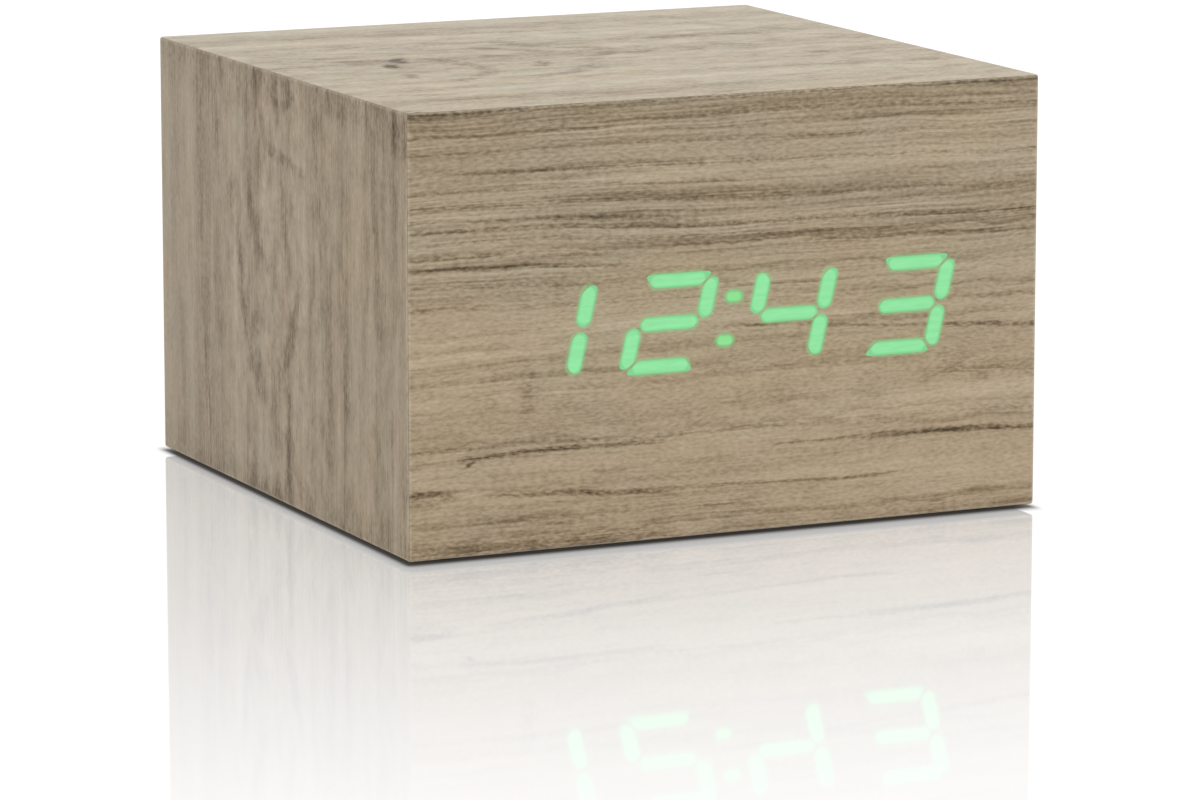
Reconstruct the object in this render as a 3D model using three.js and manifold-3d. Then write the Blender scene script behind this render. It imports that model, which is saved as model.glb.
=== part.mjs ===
// A block-shaped wooden desk clock. Six veneered boards make the case. Green seven-segment
// light comes through a thin skin of veneer left in front of a pocket in the front board.
// The setting buttons, sound switch and power inlet are on a black plate in the back board,
// and four AAA cells lie behind a hinged door in the bottom board.
//
// Millimetres. +Z is up, the front faces -Y, and the origin is the middle of the footprint
// at the underside of the feet.

import * as THREE from 'three';
import { ConvexGeometry } from 'three/addons/geometries/ConvexGeometry.js';
import { mergeVertices } from 'three/addons/utils/BufferGeometryUtils.js';
import Module from 'manifold-3d';

const wasm = await Module();
wasm.setup();

// ---------------------------------------------------------------- driving dimensions

// Case boards
const caseWidth = 102;
const caseDepth = 98;
const blockHeight = 65;
const wall = 6;
const glueLine = 0.05;
const insetGap = 0.1;
const backRecess = 0.5;

// Feet
const footHeight = 0.8;
const footRadius = 5;
const footInset = 8;

// Seven-segment display
const digitPitch = 19.45;
const digitSlant = 0.23;
const digitCentreAboveBase = 31.9;
const segmentHalfSpan = 5.45;
const segmentHalfRise = 6.25;
const barThickness = 2.05;
const postThickness = 2.4;
const colonRise = 3.2;
const colonRadius = 1.25;
const veneerSkin = 0.6;
const displayHalf = [39, 10];
const displayBoardHalf = [42, 15];
const pocketClearance = 0.2;
const boardThickness = 1.6;

// Rear control plate
const plateHalf = [38, 18];
const plateCentreZ = 36;
const plateThickness = 2;
const plateRecess = 1.5;
const plateCornerRadius = 3;
const plateLedge = 5;
const plateScrewInset = 2.9;
const buttonSpacing = 16;
const buttonRowRise = 6;
const lowerRowDrop = -6.5;
const lowerRowSpread = 15;
const buttonRadius = 3.5;
const switchTravel = 2;

// Battery bay for four AAA cells
const cellRadius = 5.2;
const cellLength = 44.5;
const cellPitch = 10.9;
const bayHalf = [21.95, 25];
const bayWall = 1.8;
const bayCeiling = 13.8;
const bayRoof = 1.2;
const doorHalf = [22.75, 25.8];
const doorThickness = 1.8;
const doorRecess = 0.2;
const flangeWidth = 2;
const flangeThickness = 1.6;

// Planes worked out from them
const left = -caseWidth / 2;
const right = caseWidth / 2;
const front = -caseDepth / 2;
const back = caseDepth / 2;
const base = footHeight;
const top = footHeight + blockHeight;
const innerFront = front + wall;
const displayZ = base + digitCentreAboveBase;
const pocketFront = front + veneerSkin;
const backOuter = back - backRecess;
const backInner = backOuter - wall;
const plateOuter = backOuter - plateRecess;
const plateInner = plateOuter - plateThickness;

// ---------------------------------------------------------------- finishes

function finish(color, roughness, metalness = 0) {
  return () => new THREE.MeshStandardMaterial({ color, roughness, metalness });
}

const oakVeneer = finish(0xa5947a, 0.62);
const blackPlastic = finish(0x17181a, 0.55);
const whitePlastic = finish(0xe9e9e4, 0.5);
const milkyFilm = finish(0xf2f5ee, 0.4);
const rubber = finish(0x1b1b1b, 0.85);
const greenBoard = finish(0x1d5a34, 0.45);
const blackEpoxy = finish(0x121212, 0.5);
const zincSteel = finish(0xb9bcc0, 0.35, 0.9);
const nickel = finish(0xc9c5b8, 0.3, 1);
const cellSleeve = finish(0x2f6b4a, 0.4, 0.2);
const greyLead = finish(0x9a9da1, 0.6);
const redLead = finish(0xa3201c, 0.5);
const blackLead = finish(0x161616, 0.5);

// ---------------------------------------------------------------- solids

// A BufferGeometry as a closed solid that can be cut and joined.
function toSolid(geometry) {
  const bare = geometry.clone();
  bare.deleteAttribute('normal');
  bare.deleteAttribute('uv');
  const welded = mergeVertices(bare, 1e-5);
  return new wasm.Manifold(new wasm.Mesh({
    numProp: 3,
    vertProperties: welded.attributes.position.array,
    triVerts: new Uint32Array(welded.index.array),
  }));
}

function toGeometry(solid) {
  const mesh = solid.getMesh();
  const geometry = new THREE.BufferGeometry();
  geometry.setAttribute('position', new THREE.BufferAttribute(mesh.vertProperties, 3));
  geometry.setIndex(new THREE.BufferAttribute(mesh.triVerts, 1));
  return geometry;
}

function cut(body, ...tools) {
  return toGeometry(tools.reduce((solid, tool) => solid.subtract(toSolid(tool)), toSolid(body)));
}

function join(...bodies) {
  return toGeometry(bodies.map(toSolid).reduce((whole, body) => whole.add(body)));
}

// A box between two limits on each axis.
function box([x0, x1], [y0, y1], [z0, z1]) {
  const geometry = new THREE.BoxGeometry(x1 - x0, y1 - y0, z1 - z0);
  return geometry.translate((x0 + x1) / 2, (y0 + y1) / 2, (z0 + z1) / 2);
}

// The limits a half-size either side of a middle.
function span(middle, half) {
  return [middle - half, middle + half];
}

// A round bar along Y, or along Z.
function rodY(radius, x, [y0, y1], z, sides = 24) {
  const geometry = new THREE.CylinderGeometry(radius, radius, y1 - y0, sides);
  return geometry.translate(x, (y0 + y1) / 2, z);
}

function rodZ(radius, x, y, [z0, z1], sides = 24) {
  const geometry = new THREE.CylinderGeometry(radius, radius, z1 - z0, sides);
  return geometry.rotateX(Math.PI / 2).translate(x, y, (z0 + z1) / 2);
}

// A turned piece about Y, from [radius, y] points that run up from the axis to the axis.
function turned(points, sides = 24) {
  return new THREE.LatheGeometry(points.map(([r, y]) => new THREE.Vector2(r, y)), sides);
}

// A rounded rectangle, centred on a point of its own plane.
function roundedOutline([halfWide, halfHigh], radius, [x, y] = [0, 0]) {
  const outline = new THREE.Shape();
  const corners = [[1, -1, -90], [1, 1, 0], [-1, 1, 90], [-1, -1, 180]];
  for (const [sideX, sideY, start] of corners) {
    const from = THREE.MathUtils.degToRad(start);
    const cornerX = x + sideX * (halfWide - radius);
    const cornerY = y + sideY * (halfHigh - radius);
    outline.absarc(cornerX, cornerY, radius, from, from + Math.PI / 2, false);
  }
  outline.closePath();
  return outline;
}

// An outline in XZ given thickness along Y.
function slabY(outline, [y0, y1], curveSegments = 3) {
  const options = { depth: y1 - y0, bevelEnabled: false, curveSegments };
  return new THREE.ExtrudeGeometry(outline, options).rotateX(Math.PI / 2).translate(0, y1, 0);
}

// An outline in XY given thickness along Z.
function slabZ(outline, [z0, z1], curveSegments = 3) {
  const options = { depth: z1 - z0, bevelEnabled: false, curveSegments };
  return new THREE.ExtrudeGeometry(outline, options).translate(0, 0, z0);
}

// A round lead along a smooth curve through its points.
function lead(points, radius, steps = 16) {
  const extrudePath = new THREE.CatmullRomCurve3(points.map((point) => new THREE.Vector3(...point)));
  const section = new THREE.Shape();
  section.absarc(0, 0, radius, 0, 2 * Math.PI, false);
  return new THREE.ExtrudeGeometry(section, { steps, extrudePath, curveSegments: 4 });
}

const clock = new THREE.Group();

function add(name, geometry, material) {
  const mesh = new THREE.Mesh(geometry, material());
  mesh.name = name;
  clock.add(mesh);
}

// ---------------------------------------------------------------- screws

// A screw on the Y axis: its head stands on y = 0 and its shank runs down to -length.
function panScrew(headRadius, headHeight, shankRadius, length) {
  return turned([
    [0, -length],
    [shankRadius, -length + shankRadius],
    [shankRadius, 0],
    [headRadius, 0],
    [headRadius, headHeight * 0.5],
    [headRadius * 0.7, headHeight],
    [0, headHeight],
  ], 12);
}

// A countersunk screw on the Y axis, its flat head level with y = 0.
function flatScrew(headRadius, shankRadius, length) {
  const coneDepth = headRadius - shankRadius;
  return turned([
    [0, -length],
    [shankRadius, -length + shankRadius],
    [shankRadius, -coneDepth],
    [headRadius, 0],
    [0, 0],
  ], 12);
}

// ---------------------------------------------------------------- case boards

// A board whose edges are mitred: an outer face and a smaller inner face, wall apart.
function mitredBoard(outer, inner) {
  const points = [...outer, ...inner].map((point) => new THREE.Vector3(...point));
  return new ConvexGeometry(points);
}

// The four corners of a rectangle that lies across one axis.
function rectangle(axis, level, [u0, u1], [v0, v1]) {
  const corners = [[u0, v0], [u1, v0], [u1, v1], [u0, v1]];
  return corners.map(([u, v]) => ({
    x: [level, u, v],
    y: [u, level, v],
    z: [u, v, level],
  }[axis]));
}

const sleeveOuterY = [front + glueLine, back];
const sleeveInnerY = [innerFront + glueLine, back];

function levelBoard(outerZ, innerZ) {
  return mitredBoard(
    rectangle('z', outerZ, span(0, right - glueLine), sleeveOuterY),
    rectangle('z', innerZ, span(0, right - wall - glueLine), sleeveInnerY),
  );
}

function sideBoard(outerX, innerX) {
  return mitredBoard(
    rectangle('x', outerX, sleeveOuterY, [base + glueLine, top - glueLine]),
    rectangle('x', innerX, sleeveInnerY, [base + wall + glueLine, top - wall - glueLine]),
  );
}

// Screw places around the display board, and the pilot holes that take them.
const displayScrewPlaces = [[-36, -12.8], [36, 12.8]];
const displayScrew = { headRadius: 1.9, headHeight: 1.3, radius: 1, length: 5.2 };
const pilotClearance = 0.15;
const pilotDepth = 4.2;

function frontBoard() {
  const blank = mitredBoard(
    rectangle('y', front, span(0, right - glueLine), [base + glueLine, top - glueLine]),
    rectangle(
      'y',
      innerFront,
      span(0, right - wall - glueLine),
      [base + wall + glueLine, top - wall - glueLine],
    ),
  );
  const pocket = box(
    span(0, displayHalf[0] + pocketClearance),
    [pocketFront, innerFront + 1],
    span(displayZ, displayHalf[1] + pocketClearance),
  );
  const pilots = displayScrewPlaces.map(([x, z]) => rodY(
    displayScrew.radius + pilotClearance,
    x,
    [innerFront - pilotDepth, innerFront + 1],
    displayZ + z,
    12,
  ));
  return cut(blank, pocket, ...pilots);
}

const flangeHalf = doorHalf.map((half) => half + 0.2 + bayWall - 1 + flangeWidth);
const bayOuterHalf = bayHalf.map((half) => half + bayWall);
const flangeCornerRadius = 3;

function bottomBoard() {
  const opening = box(
    span(0, bayOuterHalf[0] + 0.15),
    span(0, bayOuterHalf[1] + 0.15),
    [base - 1, base + wall + 1],
  );
  const rabbet = slabZ(
    roundedOutline(flangeHalf.map((half) => half + 0.15), flangeCornerRadius + 0.15),
    [base - 1, base + flangeThickness + 0.05],
  );
  return cut(levelBoard(base, base + wall), opening, rabbet);
}

// Places on the rear plate, as [x, z].
const plateScrewPlaces = [-1, 1].flatMap((sideX) => [-1, 1].map((sideZ) => [
  sideX * (plateHalf[0] - plateScrewInset),
  plateCentreZ + sideZ * (plateHalf[1] - plateScrewInset),
]));
const plateScrew = { headRadius: 1.9, radius: 1, length: 4.2 };

function backBoard() {
  const blank = box(
    span(0, right - wall - insetGap),
    [backInner, backOuter],
    [base + wall + insetGap, top - wall - insetGap],
  );
  const recess = slabY(
    roundedOutline(plateHalf.map((half) => half + 0.15), plateCornerRadius, [0, plateCentreZ]),
    [plateInner, backOuter + 1],
  );
  const opening = box(
    span(0, plateHalf[0] - plateLedge),
    [backInner - 1, plateInner + 1],
    span(plateCentreZ, plateHalf[1] - plateLedge),
  );
  const pilots = plateScrewPlaces.map(([x, z]) => rodY(
    plateScrew.radius + pilotClearance,
    x,
    [backInner - 1, plateInner + 1],
    z,
    12,
  ));
  return cut(blank, recess, opening, ...pilots);
}

function addCase() {
  add('top_panel', levelBoard(top, top - wall), oakVeneer);
  add('bottom_panel', bottomBoard(), oakVeneer);
  add('left_panel', sideBoard(left, left + wall), oakVeneer);
  add('right_panel', sideBoard(right, right - wall), oakVeneer);
  add('front_panel', frontBoard(), oakVeneer);
  add('back_panel', backBoard(), oakVeneer);
  const places = { front_left: [-1, -1], front_right: [1, -1], back_left: [-1, 1], back_right: [1, 1] };
  for (const [place, [sideX, sideY]] of Object.entries(places)) {
    const x = sideX * (right - footInset);
    const y = sideY * (back - footInset);
    add(`foot_${place}`, rodZ(footRadius, x, y, [0, footHeight]), rubber);
  }
}

// ---------------------------------------------------------------- seven-segment display

const cellCentres = [-1.5, -0.5, 0.5, 1.5].map((step) => step * digitPitch);
const postInner = segmentHalfSpan - postThickness / 2;
const postOuter = segmentHalfSpan + postThickness / 2;
const barInner = segmentHalfRise - barThickness / 2;
const barOuter = segmentHalfRise + barThickness / 2;
const barMiddle = barThickness / 2;

// Outlines of one upright digit's segments, centred on the digit.
const topBar = [
  [-postInner + 0.55, barInner],
  [postInner - 0.55, barInner],
  [postOuter - 1.4, barOuter - 0.4],
  [postOuter - 1.75, barOuter],
  [-postOuter + 1.75, barOuter],
  [-postOuter + 1.4, barOuter - 0.4],
];
const middleBar = [
  [-postInner - 0.55, 0],
  [-postInner + 0.3, -barMiddle],
  [postInner - 0.3, -barMiddle],
  [postInner + 0.55, 0],
  [postInner - 0.3, barMiddle],
  [-postInner + 0.3, barMiddle],
];
const upperRightPost = [
  [postInner, 1.25],
  [segmentHalfSpan - 0.35, 0.4],
  [segmentHalfSpan + 0.4, 0.4],
  [postOuter, 1.05],
  [postOuter, barOuter - 1.35],
  [postOuter - 0.4, barOuter - 0.95],
  [segmentHalfSpan - 0.1, barOuter - 0.95],
  [postInner, barInner - 0.05],
];

function mirrored(outline, scaleX, scaleZ) {
  return outline.map(([x, z]) => [x * scaleX, z * scaleZ]);
}

const digitSegments = [
  topBar,
  upperRightPost,
  mirrored(upperRightPost, 1, -1),
  mirrored(topBar, 1, -1),
  mirrored(upperRightPost, -1, -1),
  mirrored(upperRightPost, -1, 1),
  middleBar,
];

// A point of a digit at its slanted place on the front.
function slanted(centreX, [x, z]) {
  return [centreX + x + digitSlant * z, displayZ + z];
}

// Wells through the reflector: seven for each digit and a round one for each colon dot.
function segmentWells(range) {
  const wells = [];
  for (const centreX of cellCentres) {
    for (const outline of digitSegments) {
      const points = outline.map((point) => new THREE.Vector2(...slanted(centreX, point)));
      wells.push(slabY(new THREE.Shape(points), range));
    }
  }
  for (const rise of [-colonRise, colonRise]) {
    const [x, z] = slanted(0, [0, rise]);
    wells.push(rodY(colonRadius, x, range, z, 16));
  }
  return wells;
}

// Two chips in each segment and one in each colon dot, soldered to the display board.
function ledChips(boardFace) {
  const chip = { long: 0.8, short: 0.4, tall: 0.6, spread: 1.5 };
  const depth = [boardFace - chip.tall, boardFace + 0.1];
  const upright = digitSegments.map((outline) => {
    const middle = [0, 1].map((axis) => {
      const values = outline.map((point) => point[axis]);
      return (Math.min(...values) + Math.max(...values)) / 2;
    });
    const isPost = Math.abs(middle[0]) > 1;
    return { middle, isPost };
  });
  const chips = [];
  for (const centreX of cellCentres) {
    for (const { middle, isPost } of upright) {
      for (const side of [-chip.spread, chip.spread]) {
        const place = isPost ? [middle[0], middle[1] + side] : [middle[0] + side, middle[1]];
        const [x, z] = slanted(centreX, place);
        const half = isPost ? [chip.short, chip.long] : [chip.long, chip.short];
        chips.push(box(span(x, half[0]), depth, span(z, half[1])));
      }
    }
  }
  for (const rise of [-colonRise, colonRise]) {
    const [x, z] = slanted(0, [0, rise]);
    chips.push(box(span(x, chip.short), depth, span(z, chip.long)));
  }
  return chips;
}

// A surface-mounted chip on a board face, with legs down its two long sides.
// facing is +1 where the chip stands on a face that looks along +Y and -1 along -Y.
function packagedChip([x, z], [halfLong, halfShort], tall, legsPerSide, boardFace, facing) {
  const standOff = 0.15;
  const legHalf = 0.2;
  const legReach = 1.3;
  const sorted = (a, b) => [Math.min(a, b), Math.max(a, b)];
  const body = box(
    span(x, halfLong),
    sorted(boardFace + facing * standOff, boardFace + facing * tall),
    span(z, halfShort),
  );
  const pitch = (2 * halfLong - 1) / (legsPerSide - 1);
  const legs = [];
  for (let leg = 0; leg < legsPerSide; leg += 1) {
    const legX = x - halfLong + 0.5 + leg * pitch;
    for (const side of [-1, 1]) {
      const edge = z + side * halfShort;
      legs.push(box(
        span(legX, legHalf),
        sorted(boardFace, boardFace + facing * tall * 0.5),
        sorted(edge - side * 0.3, edge + side * legReach * 0.5),
      ));
    }
  }
  return join(body, ...legs);
}

const reflectorRange = [pocketFront + 0.3, innerFront - 0.1];
const displayBoardFace = innerFront + 0.05;
const displayBoardRear = displayBoardFace + boardThickness;
const headerHalf = [7, 2];
const headerTall = 5;
const ribbonEnds = {
  display: displayZ + 9.5,
  main: plateCentreZ + 10,
};

function addDisplay() {
  const film = box(
    span(0, displayHalf[0]),
    [pocketFront + 0.05, pocketFront + 0.25],
    span(displayZ, displayHalf[1]),
  );
  add('diffuser_film', film, milkyFilm);

  const blank = box(span(0, displayHalf[0]), reflectorRange, span(displayZ, displayHalf[1]));
  const wells = segmentWells([reflectorRange[0] - 1, reflectorRange[1] + 1]);
  add('segment_reflector', cut(blank, ...wells), whitePlastic);

  const board = box(
    span(0, displayBoardHalf[0]),
    [displayBoardFace, displayBoardRear],
    span(displayZ, displayBoardHalf[1]),
  );
  const holes = displayScrewPlaces.map(([x, z]) => rodY(
    displayScrew.radius + pilotClearance,
    x,
    [displayBoardFace - 1, displayBoardRear + 1],
    displayZ + z,
    12,
  ));
  const header = box(
    span(0, headerHalf[0]),
    [displayBoardRear - 0.1, displayBoardRear + headerTall],
    span(ribbonEnds.display, headerHalf[1]),
  );
  const chips = ledChips(displayBoardFace);
  add('display_board', join(cut(board, ...holes), header, ...chips), greenBoard);

  displayScrewPlaces.forEach(([x, z], index) => {
    const { headRadius, headHeight, radius, length } = displayScrew;
    const screw = panScrew(headRadius, headHeight, radius, length);
    add(`display_screw_${index + 1}`, screw.translate(x, displayBoardRear, displayZ + z), zincSteel);
  });

  const driver = packagedChip([0, displayZ - 1.5], [9, 3.75], 2.4, 14, displayBoardRear, 1);
  add('display_driver', driver, blackEpoxy);
}

// ---------------------------------------------------------------- rear module

const buttonZ = plateCentreZ + buttonRowRise;
const lowerRowZ = plateCentreZ + lowerRowDrop;
const buttonPlaces = { set: buttonSpacing, up: 0, down: -buttonSpacing };
const socketX = lowerRowSpread;
const switchMiddleX = -lowerRowSpread;
const sensorPlace = [-27, plateCentreZ];

// Depths behind the plate, from the plate inwards to the main board.
const flangeOuter = plateInner - 0.2;
const flangeInner = flangeOuter - 1;
const stemEnd = flangeInner - 2;
const plungerTop = stemEnd - 0.05;
const tactHeight = 5;
const boardOuter = plungerTop - tactHeight;
const boardInner = boardOuter - boardThickness;
const mainBoardHalf = [32, 12];
const bossPlaces = [-1, 1].map((side) => [side * 29, plateCentreZ + side * 9]);
const bossRadius = 2.5;
const boardScrew = { headRadius: 1.9, headHeight: 1.3, radius: 1, length: 5 };

const socket = { noseRadius: 3.2, boreRadius: 1.85, half: [4.5, 4] };
socket.noseEnd = plateOuter + 0.5;
socket.bodyEnd = plateInner - 0.4;
socket.boreEnd = socket.noseEnd - 8;

const knob = { baseHalf: [2.2, 1.9], stemHalf: [1.3, 1.2] };
knob.restX = switchMiddleX - switchTravel / 2;
knob.base = [boardOuter + 1.8, boardOuter + 3.8];
knob.end = backOuter - 0.3;

function rearPlate() {
  const outline = roundedOutline(plateHalf, plateCornerRadius, [0, plateCentreZ]);
  const blank = slabY(outline, [plateInner, plateOuter]);
  const through = [plateInner - 1, plateOuter + 1];
  const bosses = bossPlaces.map(([x, z]) => rodY(
    bossRadius,
    x,
    [boardOuter, plateInner + 0.5],
    z,
    20,
  ));
  const bossHoles = bossPlaces.map(([x, z]) => rodY(
    boardScrew.radius + pilotClearance,
    x,
    [boardOuter - 1, boardOuter + boardScrew.length],
    z,
    12,
  ));
  const buttonHoles = Object.values(buttonPlaces).map((x) => rodY(
    buttonRadius + 0.2,
    x,
    through,
    buttonZ,
    32,
  ));
  const switchSlot = slabY(
    roundedOutline(
      [knob.stemHalf[0] + switchTravel / 2 + 0.3, knob.stemHalf[1] + 0.3],
      0.4,
      [switchMiddleX, lowerRowZ],
    ),
    through,
  );
  const socketHole = rodY(socket.noseRadius + 0.2, socketX, through, lowerRowZ, 32);
  const soundHole = rodY(0.75, 0, through, lowerRowZ, 12);
  const vents = [-3, 0, 3].map((offset) => slabY(
    roundedOutline([0.6, 3.5], 0.55, [sensorPlace[0] + offset, sensorPlace[1]]),
    through,
  ));
  const screwHoles = plateScrewPlaces.flatMap(([x, z]) => {
    const { headRadius, radius } = plateScrew;
    const straight = rodY(radius + pilotClearance, x, through, z, 12);
    const sunk = turned([
      [0, radius - headRadius - 0.05],
      [radius + pilotClearance, radius - headRadius - 0.05],
      [headRadius + 0.2, 0],
      [headRadius + 0.2, 1],
      [0, 1],
    ], 24).translate(x, plateOuter, z);
    return [straight, sunk];
  });
  return cut(
    join(blank, ...bosses),
    ...bossHoles,
    ...buttonHoles,
    switchSlot,
    socketHole,
    soundHole,
    ...vents,
    ...screwHoles,
  );
}

function addRearPlate() {
  add('rear_plate', rearPlate(), blackPlastic);
  plateScrewPlaces.forEach(([x, z], index) => {
    const { headRadius, radius, length } = plateScrew;
    const screw = flatScrew(headRadius, radius, length).translate(x, plateOuter, z);
    add(`rear_plate_screw_${index + 1}`, screw, zincSteel);
  });
}

function addMainBoard() {
  const board = box(
    span(0, mainBoardHalf[0]),
    [boardInner, boardOuter],
    span(plateCentreZ, mainBoardHalf[1]),
  );
  const holes = bossPlaces.map(([x, z]) => rodY(
    boardScrew.radius + pilotClearance,
    x,
    [boardInner - 1, boardOuter + 1],
    z,
    12,
  ));
  const header = box(
    span(0, headerHalf[0]),
    [boardInner - headerTall, boardInner + 0.1],
    span(ribbonEnds.main, headerHalf[1]),
  );
  const capacitor = rodY(2.5, 28, [boardInner - 7, boardInner + 0.1], plateCentreZ, 20);
  add('main_board', join(cut(board, ...holes), header, capacitor), greenBoard);

  bossPlaces.forEach(([x, z], index) => {
    const { headRadius, headHeight, radius, length } = boardScrew;
    const screw = panScrew(headRadius, headHeight, radius, length).rotateX(Math.PI);
    add(`board_screw_${index + 1}`, screw.translate(x, boardInner, z), zincSteel);
  });
}

// One tact switch, its plunger and the button that presses it.
function addButton(name, x) {
  const bodyTop = boardOuter + 3.5;
  const plungerFoot = boardOuter + 2.2;
  const body = box(span(x, 3), [boardOuter, bodyTop], span(buttonZ, 3));
  const well = rodY(1.9, x, [plungerFoot - 0.6, bodyTop + 1], buttonZ, 20);
  add(`tact_body_${name}`, cut(body, well), zincSteel);
  add(`tact_plunger_${name}`, rodY(1.75, x, [plungerFoot, plungerTop], buttonZ, 20), blackPlastic);

  const crown = backOuter - 0.2;
  const button = turned([
    [0, stemEnd],
    [1.5, stemEnd],
    [1.5, flangeInner],
    [buttonRadius + 1, flangeInner],
    [buttonRadius + 1, flangeOuter],
    [buttonRadius, flangeOuter],
    [buttonRadius, crown - 0.5],
    [buttonRadius - 0.5, crown],
    [0, crown],
  ], 32);
  add(`button_${name}`, button.translate(x, 0, buttonZ), blackPlastic);
}

function addSlideSwitch() {
  const shellTop = boardOuter + 5.3;
  const shell = box(span(switchMiddleX, 5), [boardOuter, shellTop], span(lowerRowZ, 2.75));
  const hollow = box(
    span(switchMiddleX, 4.4),
    [boardOuter + 0.6, shellTop - 0.6],
    span(lowerRowZ, 2.15),
  );
  const slot = box(
    span(switchMiddleX, knob.stemHalf[0] + switchTravel / 2 + 0.25),
    [shellTop - 1, shellTop + 1],
    span(lowerRowZ, knob.stemHalf[1] + 0.2),
  );
  add('slide_switch_shell', cut(shell, hollow, slot), zincSteel);

  const base = box(span(knob.restX, knob.baseHalf[0]), knob.base, span(lowerRowZ, knob.baseHalf[1]));
  const stem = box(
    span(knob.restX, knob.stemHalf[0]),
    [knob.base[1] - 0.5, knob.end],
    span(lowerRowZ, knob.stemHalf[1]),
  );
  add('slide_switch_knob', join(base, stem), blackPlastic);
}

function addPowerSocket() {
  const body = box(
    span(socketX, socket.half[0]),
    [boardOuter, socket.bodyEnd],
    span(lowerRowZ, socket.half[1]),
  );
  const nose = rodY(socket.noseRadius, socketX, [socket.bodyEnd - 0.5, socket.noseEnd], lowerRowZ, 32);
  const bore = rodY(socket.boreRadius, socketX, [socket.boreEnd, socket.noseEnd + 1], lowerRowZ, 24);
  add('power_socket', cut(join(body, nose), bore), blackPlastic);

  const pin = turned([
    [0, socket.boreEnd],
    [0.65, socket.boreEnd],
    [0.65, socket.noseEnd - 1.4],
    [0.4, socket.noseEnd - 1],
    [0, socket.noseEnd - 1],
  ], 16);
  add('power_socket_pin', pin.translate(socketX, 0, lowerRowZ), nickel);
}

function addSensors() {
  const capsule = rodY(3, 0, [plateInner - 3.1, plateInner - 0.4], lowerRowZ, 24);
  const capsuleLeads = [-1.27, 1.27].map((x) => rodY(
    0.25,
    x,
    [boardOuter, plateInner - 3],
    lowerRowZ,
    8,
  ));
  add('microphone', join(capsule, ...capsuleLeads), zincSteel);

  const [sensorX, sensorZ] = sensorPlace;
  const bead = new THREE.SphereGeometry(1.2, 12, 8).translate(sensorX, plateInner - 2.6, sensorZ);
  const beadLeads = [-0.8, 0.8].map((offset) => rodY(
    0.25,
    sensorX + offset,
    [boardOuter, plateInner - 2.4],
    sensorZ,
    8,
  ));
  add('temperature_sensor', join(bead, ...beadLeads), blackEpoxy);
}

// Parts on the main board's inner face, which looks towards the front.
function addBoardParts() {
  const chip = packagedChip([3, plateCentreZ - 5], [5.15, 3.2], 2.3, 8, boardInner, -1);
  add('clock_chip', chip, blackEpoxy);

  const can = slabY(
    roundedOutline([5.2, 2.1], 2.05, [2, plateCentreZ + 4]),
    [boardInner - 3.5, boardInner - 0.4],
  );
  const brim = slabY(
    roundedOutline([5.5, 2.4], 2.35, [2, plateCentreZ + 4]),
    [boardInner - 0.6, boardInner],
  );
  add('quartz_crystal', join(can, brim), nickel);

  const buzzerX = 18;
  const drum = rodY(6, buzzerX, [boardInner - 6, boardInner], plateCentreZ, 28);
  const port = rodY(1, buzzerX, [boardInner - 7, boardInner - 4.5], plateCentreZ, 12);
  add('buzzer', cut(drum, port), blackPlastic);

  const holderX = -18;
  const coin = { radius: 10, thickness: 3.2, floor: boardInner - 0.8 };
  coin.face = coin.floor - coin.thickness;
  const tub = rodY(11, holderX, [coin.face + 0.6, boardInner], plateCentreZ, 40);
  const seat = rodY(coin.radius + 0.2, holderX, [coin.face - 1, coin.floor], plateCentreZ, 40);
  add('backup_cell_holder', cut(tub, seat), blackPlastic);
  const cell = rodY(coin.radius, holderX, [coin.face, coin.floor], plateCentreZ, 40);
  add('backup_cell', cell, zincSteel);
  const strap = box(
    span(holderX, 11.6),
    [coin.face - 0.45, coin.face - 0.05],
    span(plateCentreZ, 2),
  );
  const legs = [-1, 1].map((side) => box(
    span(holderX + side * 11.4, 0.2),
    [coin.face - 0.45, boardInner],
    span(plateCentreZ, 2),
  ));
  add('backup_cell_clip', join(strap, ...legs), nickel);
}

// The flat ribbon between the two boards, sagging a little where nothing holds it.
function addRibbon() {
  const ribbonHalfWidth = 6.35;
  const ribbonHalfThickness = 0.45;
  const start = new THREE.Vector2(displayBoardRear + headerTall + 0.3, ribbonEnds.display);
  const end = new THREE.Vector2(boardInner - headerTall - 0.3, ribbonEnds.main);
  const path = new THREE.CubicBezierCurve(
    start,
    new THREE.Vector2(start.x + 28, start.y - 8),
    new THREE.Vector2(end.x - 28, end.y - 14),
    end,
  );
  const steps = 20;
  const edges = { above: [], below: [] };
  for (let step = 0; step <= steps; step += 1) {
    const point = path.getPoint(step / steps);
    const along = path.getTangent(step / steps);
    const across = new THREE.Vector2(-along.y, along.x).multiplyScalar(ribbonHalfThickness);
    edges.above.push(point.clone().add(across));
    edges.below.unshift(point.clone().sub(across));
  }
  const outline = new THREE.Shape([...edges.above, ...edges.below]);
  const options = { depth: 2 * ribbonHalfWidth, bevelEnabled: false };
  const strip = new THREE.ExtrudeGeometry(outline, options).translate(0, 0, -ribbonHalfWidth);
  const turn = new THREE.Matrix4().makeBasis(
    new THREE.Vector3(0, 1, 0),
    new THREE.Vector3(0, 0, 1),
    new THREE.Vector3(1, 0, 0),
  );
  add('display_ribbon', strip.applyMatrix4(turn), greyLead);
}

// ---------------------------------------------------------------- battery bay

const bayMouth = base + doorRecess + doorThickness + 0.1;
const cellZ = bayMouth + 0.15 + cellRadius;
const contactThickness = 0.4;
const contactGap = 0.05;
const contactFace = bayHalf[1] - contactGap - contactThickness;
const leadHoles = { positive: -16, negative: 16 };
const leadHeight = 12;
const leadRadius = 0.7;
const tonguePlaces = [-cellPitch, cellPitch];
const tongue = { halfWidth: 3, reach: 0.8, bottom: bayMouth + 0.1, top: bayMouth + 1.1 };
const cellXs = [-1.5, -0.5, 0.5, 1.5].map((step) => step * cellPitch);

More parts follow.
